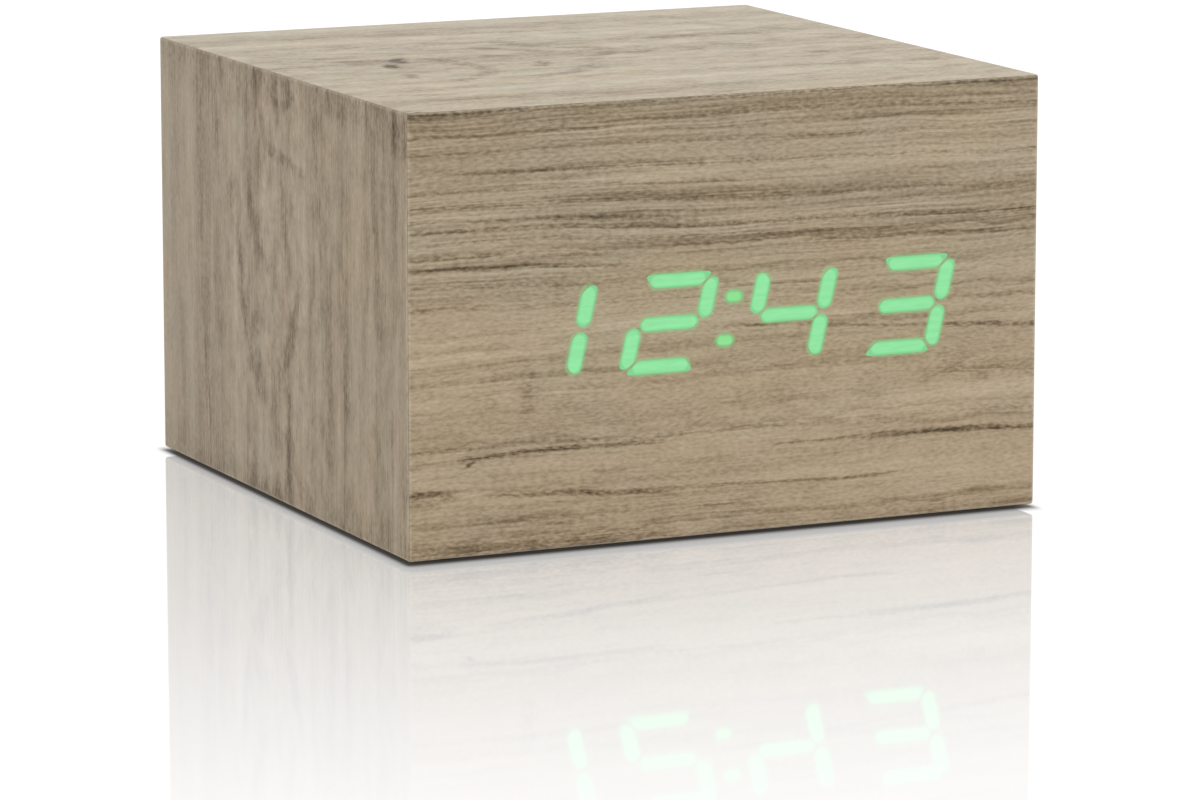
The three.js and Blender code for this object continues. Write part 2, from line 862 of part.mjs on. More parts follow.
function batteryBox() {
  const shell = box(span(0, bayOuterHalf[0]), span(0, bayOuterHalf[1]), [base, bayCeiling + bayRoof]);
  const flange = slabZ(roundedOutline(flangeHalf, flangeCornerRadius), [base, base + flangeThickness]);
  const bay = box(span(0, bayHalf[0]), span(0, bayHalf[1]), [base - 1, bayCeiling]);
  const mouth = box(
    span(0, doorHalf[0] + 0.2),
    span(0, doorHalf[1] + 0.2),
    [base - 1, bayMouth],
  );
  const windows = tonguePlaces.map((x) => box(
    span(x, tongue.halfWidth + 0.4),
    [-bayOuterHalf[1] - 1, -bayHalf[1] + 1],
    [bayMouth - 0.2, tongue.top + 0.7],
  ));
  const leadWays = Object.values(leadHoles).map((x) => rodY(
    leadRadius + 0.2,
    x,
    [bayHalf[1] - 1, bayOuterHalf[1] + 1],
    leadHeight,
    12,
  ));
  const nailNotch = rodZ(6, 0, doorHalf[1] + 0.6, [base - 1, base + 1.1], 32);
  const ribs = [-1, 0, 1].map((step) => box(
    span(step * cellPitch, 0.4),
    span(0, 19),
    [bayCeiling - 3, bayCeiling + 0.5],
  ));
  return join(cut(join(shell, flange), bay, mouth, nailNotch, ...windows, ...leadWays), ...ribs);
}

// An AAA cell along Y, its positive end towards +Y, centred on its length.
function batteryCell() {
  const end = cellLength / 2;
  const shoulder = end - 0.9;
  return turned([
    [0, -end],
    [4.3, -end],
    [4.9, -end + 0.3],
    [cellRadius, -end + 0.5],
    [cellRadius, shoulder - 0.6],
    [cellRadius - 0.7, shoulder],
    [1.9, shoulder],
    [1.8, end],
    [0, end],
  ], 24);
}

// A conical compression spring along Y.
class SpringPath extends THREE.Curve {
  constructor(startY, endY, startRadius, endRadius, turns) {
    super();
    Object.assign(this, { startY, endY, startRadius, endRadius, turns });
  }

  getPoint(t, target = new THREE.Vector3()) {
    const angle = 2 * Math.PI * this.turns * t;
    const radius = THREE.MathUtils.lerp(this.startRadius, this.endRadius, t);
    const y = THREE.MathUtils.lerp(this.startY, this.endY, t);
    return target.set(radius * Math.cos(angle), y, radius * Math.sin(angle));
  }
}

const springWireRadius = 0.28;
const springLength = 2 * (contactFace - cellLength / 2) - contactGap * 2 - springWireRadius;

function contactSpring(startY, endY) {
  const wire = new THREE.Shape();
  wire.absarc(0, 0, springWireRadius, 0, 2 * Math.PI, false);
  const extrudePath = new SpringPath(startY, endY, 3.3, 2.3, 3);
  return new THREE.ExtrudeGeometry(wire, { steps: 36, extrudePath, curveSegments: 3 });
}

function batteryDoor() {
  const plate = slabZ(
    roundedOutline(doorHalf, 0.8),
    [base + doorRecess, base + doorRecess + doorThickness],
  );
  const tongues = tonguePlaces.flatMap((x) => {
    const root = box(
      span(x, tongue.halfWidth),
      [-doorHalf[1], -bayHalf[1]],
      [bayMouth - 0.5, tongue.top],
    );
    const tip = box(
      span(x, tongue.halfWidth),
      [-doorHalf[1] - tongue.reach, -bayHalf[1]],
      [tongue.bottom, tongue.top],
    );
    return [root, tip];
  });
  return join(plate, ...tongues);
}

// The five contacts that put the cells in series: an end wall, the cells that each one
// touches, and the cell whose negative end it holds with a spring.
const contacts = {
  battery_contact_positive: { wall: 1, cells: [0] },
  battery_contact_first_pair: { wall: -1, cells: [0, 1], sprung: 0 },
  battery_contact_middle_pair: { wall: 1, cells: [1, 2], sprung: 1 },
  battery_contact_last_pair: { wall: -1, cells: [2, 3], sprung: 2 },
  battery_contact_negative: { wall: 1, cells: [3], sprung: 3 },
};

function addContact(name, { wall: side, cells, sprung }) {
  const xs = cells.map((index) => cellXs[index]);
  const faces = [side * contactFace, side * (contactFace + contactThickness)].sort((a, b) => a - b);
  const plate = box([Math.min(...xs) - 4, Math.max(...xs) + 4], faces, span(cellZ, 3.8));
  if (sprung === undefined) {
    add(name, plate, nickel);
    return;
  }
  const springEnd = contactFace - springLength;
  const spring = contactSpring(side * (contactFace + 0.1), side * springEnd);
  add(name, join(plate, spring.translate(cellXs[sprung], 0, cellZ)), nickel);
}

function addBatteryBay() {
  add('battery_box', batteryBox(), blackPlastic);
  add('battery_door', batteryDoor(), blackPlastic);
  for (const [name, contact] of Object.entries(contacts)) {
    addContact(name, contact);
  }
  cellXs.forEach((x, index) => {
    const plusSide = index % 2 === 0 ? 1 : -1;
    const cell = batteryCell();
    if (plusSide < 0) {
      cell.rotateX(Math.PI);
    }
    const middle = plusSide * (contactFace - contactGap - cellLength / 2);
    add(`battery_cell_${index + 1}`, cell.translate(x, middle, cellZ), cellSleeve);
  });
}

// The two leads from the bay's end wall up to the main board.
function addLeads() {
  const landing = { positive: [-12, plateCentreZ - 11], negative: [22, plateCentreZ - 11] };
  const colours = { positive: redLead, negative: blackLead };
  for (const [pole, startX] of Object.entries(leadHoles)) {
    const [endX, endZ] = landing[pole];
    const route = [
      [startX, bayHalf[1] + 0.1, leadHeight],
      [startX, bayOuterHalf[1] + 0.8, leadHeight],
      [startX + (endX - startX) * 0.3, bayOuterHalf[1] + 2, leadHeight + 4],
      [endX, boardInner - 5, endZ - 4],
      [endX, boardInner - 3, endZ - 0.6],
      [endX, boardInner - 0.1, endZ],
    ];
    add(`battery_lead_${pole}`, lead(route, leadRadius), colours[pole]);
  }
}

addCase();
addDisplay();
addRearPlate();
addMainBoard();
for (const [name, x] of Object.entries(buttonPlaces)) {
  addButton(name, x);
}
addSlideSwitch();
addPowerSocket();
addSensors();
addBoardParts();
addRibbon();
addBatteryBay();
addLeads();

export default clock;
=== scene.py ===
import math

import bmesh
import bpy
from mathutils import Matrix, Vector


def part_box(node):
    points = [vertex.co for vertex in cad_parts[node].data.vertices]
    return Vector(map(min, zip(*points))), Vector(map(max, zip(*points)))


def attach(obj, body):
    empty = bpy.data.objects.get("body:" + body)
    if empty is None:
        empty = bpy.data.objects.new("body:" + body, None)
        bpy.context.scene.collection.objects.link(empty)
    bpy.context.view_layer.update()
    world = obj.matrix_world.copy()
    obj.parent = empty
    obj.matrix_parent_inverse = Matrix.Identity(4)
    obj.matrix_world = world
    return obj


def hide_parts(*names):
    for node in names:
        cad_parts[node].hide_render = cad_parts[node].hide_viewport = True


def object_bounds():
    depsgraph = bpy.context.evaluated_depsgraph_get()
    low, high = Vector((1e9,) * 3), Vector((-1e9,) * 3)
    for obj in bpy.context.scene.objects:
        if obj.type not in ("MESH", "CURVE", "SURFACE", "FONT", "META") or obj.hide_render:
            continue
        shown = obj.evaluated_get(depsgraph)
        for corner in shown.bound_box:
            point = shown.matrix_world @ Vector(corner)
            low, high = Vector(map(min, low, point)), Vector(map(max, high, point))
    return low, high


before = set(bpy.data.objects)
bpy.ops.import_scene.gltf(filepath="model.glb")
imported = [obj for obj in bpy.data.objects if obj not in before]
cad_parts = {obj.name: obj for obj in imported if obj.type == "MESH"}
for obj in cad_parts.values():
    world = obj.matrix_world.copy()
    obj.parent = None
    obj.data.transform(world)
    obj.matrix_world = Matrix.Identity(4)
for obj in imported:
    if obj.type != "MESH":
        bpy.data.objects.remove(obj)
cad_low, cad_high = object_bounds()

# Shapes are built in millimetres, and finish_mesh() turns them into metres. Only the camera,
# the lamp and refined() work in metres.
MM = 0.001
CASE = "clock_case"

# ---- sizes taken from the frame


def box(node):
    return [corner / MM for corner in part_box(node)]


def middle_of(node):
    low, high = box(node)
    return (low + high) / 2


def spot_of(node):
    """The x and z of a node's middle."""
    middle = middle_of(node)
    return middle.x, middle.z


left_low, left_high = box("left_panel")
plate_low, plate_high = box("rear_plate")

LEFT, RIGHT = cad_low.x / MM, cad_high.x / MM
FRONT, BACK = cad_low.y / MM, cad_high.y / MM
BASE, TOP = box("bottom_panel")[0].z, cad_high.z / MM
WALL = left_high.x - left_low.x
DISPLAY = middle_of("segment_reflector")
BACK_INNER, BACK_OUTER = (corner.y for corner in box("back_panel"))
PLATE_SPOT = (0.0, middle_of("rear_plate").z)
PLATE_THICKNESS = 2.0
PLATE_FOOT, PLATE_OUTER = plate_low.y, plate_high.y
PLATE_INNER = PLATE_OUTER - PLATE_THICKNESS

# ---- camera, light and world, in metres

CAMERA_AIM = Vector((-0.0208, -0.0490, 0.0222))
CAMERA_DISTANCE = 0.8853
CAMERA_AZIMUTH, CAMERA_ELEVATION = math.radians(-24.88), math.radians(10.38)
CAMERA_LENS, CAMERA_SENSOR = 183.5, 36.0
LAMP_PLACE, LAMP_AIM = Vector((0.7, -1.1, 1.3)), Vector((0.0, 0.0, 0.03))
LAMP_SIZE, LAMP_POWER = 1.2, 8.0


def place_looking(data, place, aim):
    """Adds a camera or a lamp at a place, turned towards another."""
    thing = bpy.data.objects.new(data.name, data)
    thing.location = place
    thing.rotation_mode = "QUATERNION"
    thing.rotation_quaternion = (aim - place).to_track_quat("-Z", "Y")
    bpy.context.scene.collection.objects.link(thing)
    return thing


def make_camera():
    """A long lens low at the front left, looking slightly down."""
    level = math.cos(CAMERA_ELEVATION)
    back = Vector((
        level * math.sin(CAMERA_AZIMUTH),
        -level * math.cos(CAMERA_AZIMUTH),
        math.sin(CAMERA_ELEVATION),
    ))
    data = bpy.data.cameras.new("camera")
    data.lens = CAMERA_LENS
    data.sensor_width = CAMERA_SENSOR
    data.clip_start = 0.01
    camera = place_looking(data, CAMERA_AIM + back * CAMERA_DISTANCE, CAMERA_AIM)
    bpy.context.scene.camera = camera


def make_lamp():
    data = bpy.data.lights.new("key", "AREA")
    data.shape = "DISK"
    data.size = LAMP_SIZE
    data.energy = LAMP_POWER
    place_looking(data, LAMP_PLACE, LAMP_AIM)


def make_world():
    world = bpy.data.worlds.new("studio")
    world.use_nodes = True
    background = world.node_tree.nodes["Background"]
    background.inputs["Color"].default_value = (1.0, 1.0, 1.0, 1.0)
    background.inputs["Strength"].default_value = 1.0
    bpy.context.scene.world = world
    bpy.context.scene.view_settings.view_transform = "Standard"


# ---- materials: node calls


def rgba(colour):
    if isinstance(colour, bpy.types.NodeSocket) or colour is None:
        return colour
    return (*colour, 1.0) if len(colour) == 3 else colour


class Finish:
    """A Principled material, with short calls for the nodes that feed it."""

    def __init__(self, name, sockets=None):
        self.material = bpy.data.materials.new(name)
        self.material.use_nodes = True
        self.nodes = self.material.node_tree.nodes
        self.links = self.material.node_tree.links
        self.shader = self.nodes["Principled BSDF"]
        for socket, value in (sockets or {}).items():
            self.drive(socket, value)
        self.row = self.vector("SCALE", self.node("TexCoord").outputs["Object"], 1 / MM)

    def feed(self, socket, value):
        if isinstance(value, bpy.types.NodeSocket):
            self.links.new(value, socket)
        elif value is not None:
            socket.default_value = value

    def drive(self, name, value):
        self.feed(self.shader.inputs[name], value)

    def node(self, kind, *values, **named):
        """A new node, with its first inputs and its named inputs fed."""
        node = self.nodes.new("ShaderNode" + kind)
        for socket, value in zip(node.inputs, values):
            self.feed(socket, value)
        for name, value in named.items():
            self.feed(node.inputs[name], value)
        return node

    def math(self, operation, a, b=None, c=None, clamp=False):
        node = self.node("Math", a, b, c)
        node.operation = operation
        node.use_clamp = clamp
        return node.outputs[0]

    def plus(self, a, b):
        return self.math("ADD", a, b)

    def minus(self, a, b):
        return self.math("SUBTRACT", a, b)

    def times(self, a, b, clamp=False):
        return self.math("MULTIPLY", a, b, clamp=clamp)

    def times_plus(self, a, b, c):
        return self.math("MULTIPLY_ADD", a, b, c)

    def vector(self, operation, a, b=None):
        node = self.node("VectorMath", a)
        node.operation = operation
        self.feed(node.inputs[3] if operation == "SCALE" else node.inputs[1], b)
        return node.outputs["Value" if operation in ("LENGTH", "DOT_PRODUCT") else "Vector"]

    def split(self, vector):
        return tuple(self.node("SeparateXYZ", vector).outputs)

    def join(self, x=0.0, y=0.0, z=0.0):
        return self.node("CombineXYZ", x, y, z).outputs[0]

    def noise(self, vector, scale=1.0, detail=2.0, roughness=0.5):
        node = self.node("TexNoise", Vector=vector, Scale=scale, Detail=detail, Roughness=roughness)
        return node.outputs[0]

    def remap(self, value, low, high, to_low=0.0, to_high=1.0, smooth=False):
        node = self.node("MapRange", value, low, high, to_low, to_high)
        node.interpolation_type = "SMOOTHSTEP" if smooth else "LINEAR"
        return node.outputs[0]

    def fading(self, value, low, high, strength=1.0):
        """Falls smoothly from strength at low to nothing at high."""
        return self.remap(value, low, high, strength, 0.0, smooth=True)

    def blend(self, factor, a, b, mode="MIX"):
        node = self.node("Mix", factor)
        node.data_type = "RGBA"
        node.blend_type = mode
        self.feed(node.inputs[6], rgba(a))
        self.feed(node.inputs[7], rgba(b))
        return node.outputs[2]

    def ramp(self, value, stops):
        node = self.node("ValToRGB", value)
        elements = node.color_ramp.elements
        while len(elements) < len(stops):
            elements.new(0.5)
        for element, (position, colour) in zip(elements, stops):
            element.position = position
            element.color = rgba(colour)
        return node.outputs[0]

    def bump(self, height, rise):
        """Feeds the normal from a height field of 0 to 1 that stands for rise metres."""
        self.drive("Normal", self.node("Bump", Distance=rise, Height=height).outputs[0])


# ---- the display's outlines

DIGIT_PITCH = 19.45
SLANT = 0.23
HALF_SPAN = 5.45
HALF_RISE = 6.25
BAR = 2.05
POST = 2.4
COLON_RISE = 3.2
COLON_HALF = (1.4, 0.9)
SPINE_END = 3.6
SPINE_LOW, SPINE_HIGH = 1.7, 5.2
SHOWN = ("bc", "abged", "fgbc", "abgcd")
CELLS = [(step - 1.5) * DIGIT_PITCH for step in range(4)]


def segment_outlines():
    """The outlines of an upright digit's segments, centred on the digit, by letter."""
    post_in, post_out = HALF_SPAN - POST / 2, HALF_SPAN + POST / 2
    bar_in, bar_out = HALF_RISE - BAR / 2, HALF_RISE + BAR / 2

    def flipped(outline, x_way, z_way):
        points = [(x * x_way, z * z_way) for x, z in outline]
        return points if x_way * z_way > 0 else points[::-1]

    top_half = [(post_in - 0.55, bar_in), (post_out - 1.4, bar_out - 0.4), (post_out - 1.75, bar_out)]
    top_bar = top_half + flipped(top_half, -1, 1)
    middle_half = [(post_in - 0.3, -BAR / 2), (post_in + 0.55, 0.0), (post_in - 0.3, BAR / 2)]
    middle_bar = middle_half + flipped(middle_half, -1, 1)
    post = [
        (post_in, 1.25), (HALF_SPAN - 0.35, 0.4), (HALF_SPAN + 0.4, 0.4), (post_out, 1.05),
        (post_out, bar_out - 1.35), (post_out - 0.4, bar_out - 0.95),
        (HALF_SPAN - 0.1, bar_out - 0.95), (post_in, bar_in - 0.05),
    ]
    return {
        "a": top_bar,
        "b": post,
        "c": flipped(post, 1, -1),
        "d": flipped(top_bar, 1, -1),
        "e": flipped(post, -1, -1),
        "f": flipped(post, -1, 1),
        "g": middle_bar,
    }


def on_front(cell, point):
    """A digit's own point at its slanted place on the front, as x and z."""
    x, z = point
    return DISPLAY.x + cell + x + SLANT * z, DISPLAY.z + z


def lit_spines():
    """The middle line of every lit segment and dot, as x and z, with its half thickness."""
    spines = {
        letter: ((-SPINE_END, z), (SPINE_END, z), BAR / 2)
        for letter, z in (("a", HALF_RISE), ("g", 0.0), ("d", -HALF_RISE))
    }
    for letter, side, rise in (("b", 1, 1), ("c", 1, -1), ("e", -1, -1), ("f", -1, 1)):
        x = side * HALF_SPAN
        spines[letter] = ((x, rise * SPINE_LOW), (x, rise * SPINE_HIGH), POST / 2)
    result = []
    for cell, letters in zip(CELLS, SHOWN):
        for letter in letters:
            start, end, half = spines[letter]
            result.append((on_front(cell, start), on_front(cell, end), half))
    reach, half = COLON_HALF[0] - COLON_HALF[1], COLON_HALF[1]
    for rise in (-COLON_RISE, COLON_RISE):
        x, z = on_front(0.0, (0.0, rise))
        result.append(((x - reach, z), (x + reach, z), half))
    return result


# ---- materials: wood

WOOD_STOPS = [
    (0.00, (0.050, 0.030, 0.012)),
    (0.25, (0.180, 0.128, 0.070)),
    (0.50, (0.335, 0.263, 0.174)),
    (0.75, (0.450, 0.365, 0.258)),
    (1.00, (0.580, 0.488, 0.360)),
]
FIBREBOARD_DARK, FIBREBOARD_LIGHT = (0.1495, 0.10075, 0.06175), (0.3105, 0.20925, 0.12825)
# The paler arris colour: partly wear, partly a painted highlight along the edges.
RUBBED_AND_HIGHLIGHT = (0.55, 0.48, 0.37)
COOL = (0.93, 1.0, 1.07)
STREAK_SWING, FIBRE_SWING, BAND_SWING, BLOTCH_SWING = 0.52, 0.42, 0.42, 0.75
DARK_LINE_DEPTH = 0.07


def line_distance(finish, point, start, end, bow=0.0):
    """Distance from a flat point to the stretch between two others, and the product of the
    shares of the stretch before and after its nearest point. A bow pushes the middle of the
    stretch to its left."""
    stretch = Vector(end) - Vector(start)
    from_start = finish.vector("SUBTRACT", point, (*start, 0.0))
    along = tuple(value / stretch.length_squared for value in stretch)
    share = finish.times(finish.vector("DOT_PRODUCT", from_start, (*along, 0.0)), 1.0, clamp=True)
    shares = finish.times(share, finish.minus(1.0, share))
    foot = finish.vector("SCALE", (*stretch, 0.0), share)
    if bow:
        left = Vector((-stretch.y, stretch.x)).normalized() * 4 * bow
        foot = finish.vector("ADD", foot, finish.vector("SCALE", (*left, 0.0), shares))
    return finish.vector("LENGTH", finish.vector("SUBTRACT", from_start, foot)), shares


def drawn_marks(wood, point, marks):
    """The darkest of several marks: each is its ends, bow, half width and strength, and it
    thins out towards its ends."""
    darkest = 0.0
    for start, end, bow, half_width, strength in marks:
        distance, shares = line_distance(wood, point, start, end, bow)
        full = wood.remap(shares, 0.0, 0.12, strength * 0.25, strength)
        mark = wood.times(full, wood.fading(distance, half_width * 0.1, half_width))
        darkest = wood.math("MAXIMUM", darkest, mark)
    return darkest


def gap_to_lit(finish):
    """Distance outside the nearest lit segment, negative inside it."""
    x, _, z = finish.split(finish.row)
    point = finish.join(x, z)
    nearest = 2 * RIGHT
    for start, end, half in lit_spines():
        distance, _ = line_distance(finish, point, start, end)
        nearest = finish.math("MINIMUM", nearest, finish.minus(distance, half))
    return nearest


def edge_gap(wood):
    """Distance to the nearest outer edge of the block, for a point on one of its faces."""
    x, y, z = wood.split(wood.row)
    gap_x = wood.minus(RIGHT, wood.math("ABSOLUTE", x))
    gap_y = wood.minus(BACK, wood.math("ABSOLUTE", y))
    gap_z = wood.minus((TOP - BASE) / 2, wood.math("ABSOLUTE", wood.minus(z, (TOP + BASE) / 2)))
    low_xy, high_xy = (wood.math(way, gap_x, gap_y) for way in ("MINIMUM", "MAXIMUM"))
    return wood.math("MINIMUM", high_xy, wood.math("MAXIMUM", low_xy, gap_z))


def make_wood(name, place, grain, marks=(), seed=0.0, glow=False):
    """A veneered board. place turns row millimetres into (along, across, depth) of the board,
    each an axis, a sign and the row coordinate of its zero. In grain, pith, taper and spacing
    set the growth rings, and zones give (place across, streaks, tone, mottle)."""
    wood = Finish(name, {"Specular IOR Level": 0.35})
    row = wood.split(wood.row)
    along, across, depth = (
        wood.times_plus(row["xyz".index(axis)], sign, -sign * zero) for axis, sign, zero in place
    )
    seeded_along = wood.plus(along, seed)
    seeded_across = wood.plus(across, seed * 1.7)

    def stretched(long, wide, shift=0.0, side=seeded_across, detail=1.0, roughness=0.5):
        vector = wood.join(
            wood.math("DIVIDE", seeded_along, long),
            wood.math("DIVIDE", side, wide),
            wood.times_plus(depth, 0.3, seed + shift),
        )
        return wood.noise(vector, 1.0, detail, roughness)

    def centred(value, spread):
        return wood.times_plus(value, spread, -spread / 2)

    def swayed(tone, value, swing):
        """tone, made darker and lighter by a noise."""
        return wood.times_plus(wood.minus(value, 0.5), swing, tone)

    # The grain wanders: slow bends, then small ripples.
    bend = centred(stretched(60, 20), 3.0)
    ripple = centred(stretched(15, 5, 3.0), 0.9)
    wandering = wood.plus(across, wood.plus(bend, ripple))

    # Growth rings: contours of the distance from the pith, much longer along the grain.
    pith_along, pith_across = grain["pith"]
    run = wood.times(wood.minus(along, pith_along), grain["taper"])
    radius = wood.vector("LENGTH", wood.join(run, wood.minus(wandering, pith_across)))
    warp = centred(stretched(9, 4.5, 7.0, detail=2.0, roughness=0.55), grain["warp"] * 2)
    phase = wood.math("FRACT", wood.math("DIVIDE", wood.plus(radius, warp), grain["spacing"]))
    crest = wood.times(wood.remap(phase, 0.3, 0.85, smooth=True), wood.fading(phase, 0.85, 1.0))
    rings = wood.times(crest, wood.remap(stretched(grain.get("run", 16), 5, 11.0), 0.42, 0.62))

    # Fibres run along the grain, from broad bands down to hair lines and short flecks.
    bands = stretched(120, 7, 0.0, wandering)
    streaks = stretched(110, 1.3, 5.0, wandering, 2.0, 0.62)
    fibres = stretched(26, 0.42, 9.0, wandering, 1.0, 0.6)
    flecks = stretched(1.0, 0.42, 13.0, wandering)
    mottle = stretched(grain.get("blotch", 5.0), 2.4, 17.0, detail=3.0, roughness=0.6)
    dark_lines = wood.fading(streaks, 0.27, 0.40)

    # Some parts of a board are streaky, others plain or mottled.
    spread = grain.get("width", 65)
    stops = [
        (at / spread, (min(streaky, 2.0) / 2.0, tone + 0.5, min(mottled, 2.0) / 2.0))
        for at, streaky, tone, mottled in grain["zones"]
    ]
    zones = wood.ramp(wood.math("DIVIDE", across, spread), stops)
    streaky, tone, mottled = wood.node("SeparateColor", zones).outputs
    streaky = wood.times(streaky, wood.remap(stretched(26, 6, 19.0), 0.3, 0.7, 0.9, 2.6))
    lines = wood.times(dark_lines, -DARK_LINE_DEPTH)
    lines = swayed(swayed(lines, fibres, FIBRE_SWING), streaks, STREAK_SWING)
    tone = wood.times_plus(lines, streaky, tone)
    tone = swayed(tone, bands, BAND_SWING)
    tone = swayed(tone, flecks, grain.get("fleck", 0.42))
    tone = wood.times_plus(wood.times(wood.minus(mottle, 0.5), mottled), BLOTCH_SWING, tone)
    tone = wood.times_plus(rings, -grain["rings"], tone)
    if marks:
        frayed = wood.remap(wood.plus(fibres, flecks), 0.7, 1.2, 1.3, 0.6)
        patchy = wood.times(frayed, wood.remap(mottle, 0.34, 0.66, 1.2, 0.7))
        drawn = drawn_marks(wood, wood.join(along, wandering), marks)
        tone = wood.minus(tone, wood.times(drawn, patchy))
    # Each board's tint paints the light it gets: the top lighter and cooler as painted light and sheen,
    # the sides darker as painted shade, the front a little warmer.
    colour = wood.blend(1.0, wood.ramp(tone, WOOD_STOPS), grain.get("painted_light_tint", (1.0, 1.0, 1.0)), "MULTIPLY")

    # Cooler and warmer patches, a paler arris (partly rubbed wear, partly a painted highlight), and
    # fibreboard behind the veneer.
    cool = wood.remap(stretched(21, 8, 23.0), 0.35, 0.65, 0.0, 0.5)
    if "cooler" in grain:
        cool = wood.plus(cool, wood.remap(across, *grain["cooler"], -0.25, 0.45))
    colour = wood.blend(cool, colour, COOL, "MULTIPLY")
    # Paler near the block's edges, broken up by flecks: partly wear, partly a painted highlight.
    wear_and_highlight = wood.times(wood.remap(edge_gap(wood), 0.15, 0.6, 0.6, 0.0), flecks)
    colour = wood.blend(wear_and_highlight, colour, RUBBED_AND_HIGHLIGHT)
    speckle = wood.remap(wood.noise(wood.row, 2.4, 3.0, 0.7), 0.3, 0.7)
    board = wood.blend(speckle, FIBREBOARD_DARK, FIBREBOARD_LIGHT)
    colour = wood.blend(wood.remap(depth, 0.58, 0.64), colour, board)
    wood.drive("Base Color", add_glow(wood, colour) if glow else colour)
    wood.drive("Roughness", wood.remap(fibres, 0.3, 0.7, 0.60, 0.48))
    wood.bump(stretched(9, 0.36, 9.0, wandering, 0.0), 0.00005)
    return wood.material


def add_glow(wood, colour):
    """Green light spreading in the veneer just round each lit segment."""
    gap = gap_to_lit(wood)
    rim = wood.fading(gap, 0.0, 0.5)
    wood.drive("Emission Color", wood.blend(rim, (0.0, 0.0, 0.0), (0.03, 0.14, 0.045)))
    wood.drive("Emission Strength", 1.0)
    tinted = wood.blend(wood.fading(gap, 0.0, 4.0, 0.35), colour, (0.96, 1.04, 0.90), "MULTIPLY")
    return wood.blend(wood.times(rim, 0.5), tinted, (0.17, 0.25, 0.12))


STREAKY = {
    "pith": (60, 140), "taper": 0.05, "spacing": 2.3, "warp": 1.6, "rings": 0.10,
    "zones": [(0, 0.9, 0, 0.6), (1, 0.9, 0, 0.6)],
}
FRONT_GRAIN = {
    **STREAKY, "painted_light_tint": (1, 0.968, 0.935), "rings": 0.13, "run": 60, "cooler": (8, 50),
    "zones": [
        (0, 0.8, -0.06, 1), (4, 0.6, -0.01, 0.7), (12, 0.5, 0.02, 0.5), (22, 0.4, 0.04, 0.9),
        (30, 0.5, 0.02, 0.6), (40, 0.8, 0.01, 0.4), (47, 1.2, -0.05, 0.4), (54, 0.9, -0.02, 0.4),
        (60, 1.1, -0.08, 0.4), (65, 1.2, -0.12, 0.4),
    ],
}
# The sides' tint is painted shade: darker and greyer than the front.
SIDE_GRAIN = {
    "pith": (66, 45), "taper": 0.27, "spacing": 5, "warp": 2.6, "rings": 0.09, "width": 98,
    "painted_light_tint": (0.885, 0.868, 0.858), "blotch": 4.5, "fleck": 0.30,
    "zones": [
        (0, 0.1, 0.03, 0.5), (12, 0.2, 0.02, 0.7), (18, 0.4, -0.03, 0.9), (28, 0.3, 0.02, 1.2),
        (34, 0.25, 0, 1.9), (56, 0.25, -0.01, 1.9), (66, 0.4, 0.01, 1.4), (98, 0.45, 0.01, 1.2),
    ],
}
# The top's tint is painted light: lighter and cooler, as if lit from above with a sheen.
TOP_GRAIN = {
    "pith": (20, 47), "taper": 0.6, "spacing": 6, "warp": 3.2, "rings": 0.09, "width": 98,
    "painted_light_tint": (1.24, 1.305, 1.40),
    "zones": [(0, 0.25, 0.04, 0.8), (30, 0.25, 0.01, 1.5), (60, 0.25, 0.01, 1.5), (98, 0.3, 0.01, 1.1)],
}

# Marks in millimetres along and across the board: two ends, bow, half width, depth of tone.
FRONT_MARKS = [
    ((-15, 64.4), (117, 64), 0, 0.7, 0.22), ((-10, 61.2), (32, 60.9), 0.2, 0.7, 0.15),
    ((30, 61.8), (117, 60.4), 0.4, 0.6, 0.14), ((-15, 58.6), (117, 57.4), 0.3, 0.5, 0.11),
    ((4, 55.2), (117, 53.6), 0.5, 0.7, 0.17), ((-15, 52.6), (60, 52.2), 0.3, 0.5, 0.10),
    ((-15, 50.4), (117, 49), 0.4, 0.6, 0.13), ((-15, 48.5), (50, 47.4), 0.2, 0.6, 0.14),
    ((-15, 47.1), (117, 45.1), 0.5, 0.6, 0.19), ((0, 45.4), (80, 44), 0.3, 0.5, 0.14),
    ((-15, 43.4), (34, 42.7), 0.1, 0.5, 0.14), ((42, 43.8), (117, 41.6), 0.3, 0.6, 0.18),
    ((-15, 42), (38, 41.1), 0.1, 0.5, 0.20), ((-10, 39.1), (30, 38.9), 0.2, 0.8, 0.10),
    ((-15, 36.3), (54, 35.2), 0.2, 0.6, 0.13), ((48, 30.4), (94, 27.5), 0.3, 0.45, 0.18),
    ((80, 28.6), (117, 26.4), 0.2, 0.6, 0.28), ((-15, 15.8), (78, 15.2), 0.2, 0.5, 0.20),
    ((60, 15), (110, 14.6), 0.1, 0.5, 0.10), ((8, 13.9), (40, 14.9), 0.3, 0.65, 0.34),
    ((8.8, 14.6), (11.5, 13.9), -0.2, 0.6, 0.30), ((9, 12.8), (11.8, 14.3), 0.2, 0.6, 0.34),
    ((58, 12.9), (88, 12.1), 0.2, 0.5, 0.20), ((72, 12.5), (120, 10.2), 0.4, 0.65, 0.34),
    ((12, 8.6), (42, 7.5), 0.2, 0.75, 0.28), ((26, 8), (80, 6.6), 0.3, 0.5, 0.24),
    ((-4, 9.1), (7.5, 8.6), 0.2, 1.3, 0.32), ((-4, 8.2), (5.5, 7.9), 0, 0.7, 0.20),
    ((19, 19.5), (19, 27), 0.3, 1.8, 0.10), ((84, 21.8), (104, 20.2), 0.3, 2.6, 0.09),
    ((-6, 1.2), (42, 1), 0, 1.8, 0.16), ((10, 5.2), (26, 4), 0.2, 1, 0.10),
    ((46, 4.4), (54, 4.6), 0.2, 0.7, 0.12),
]
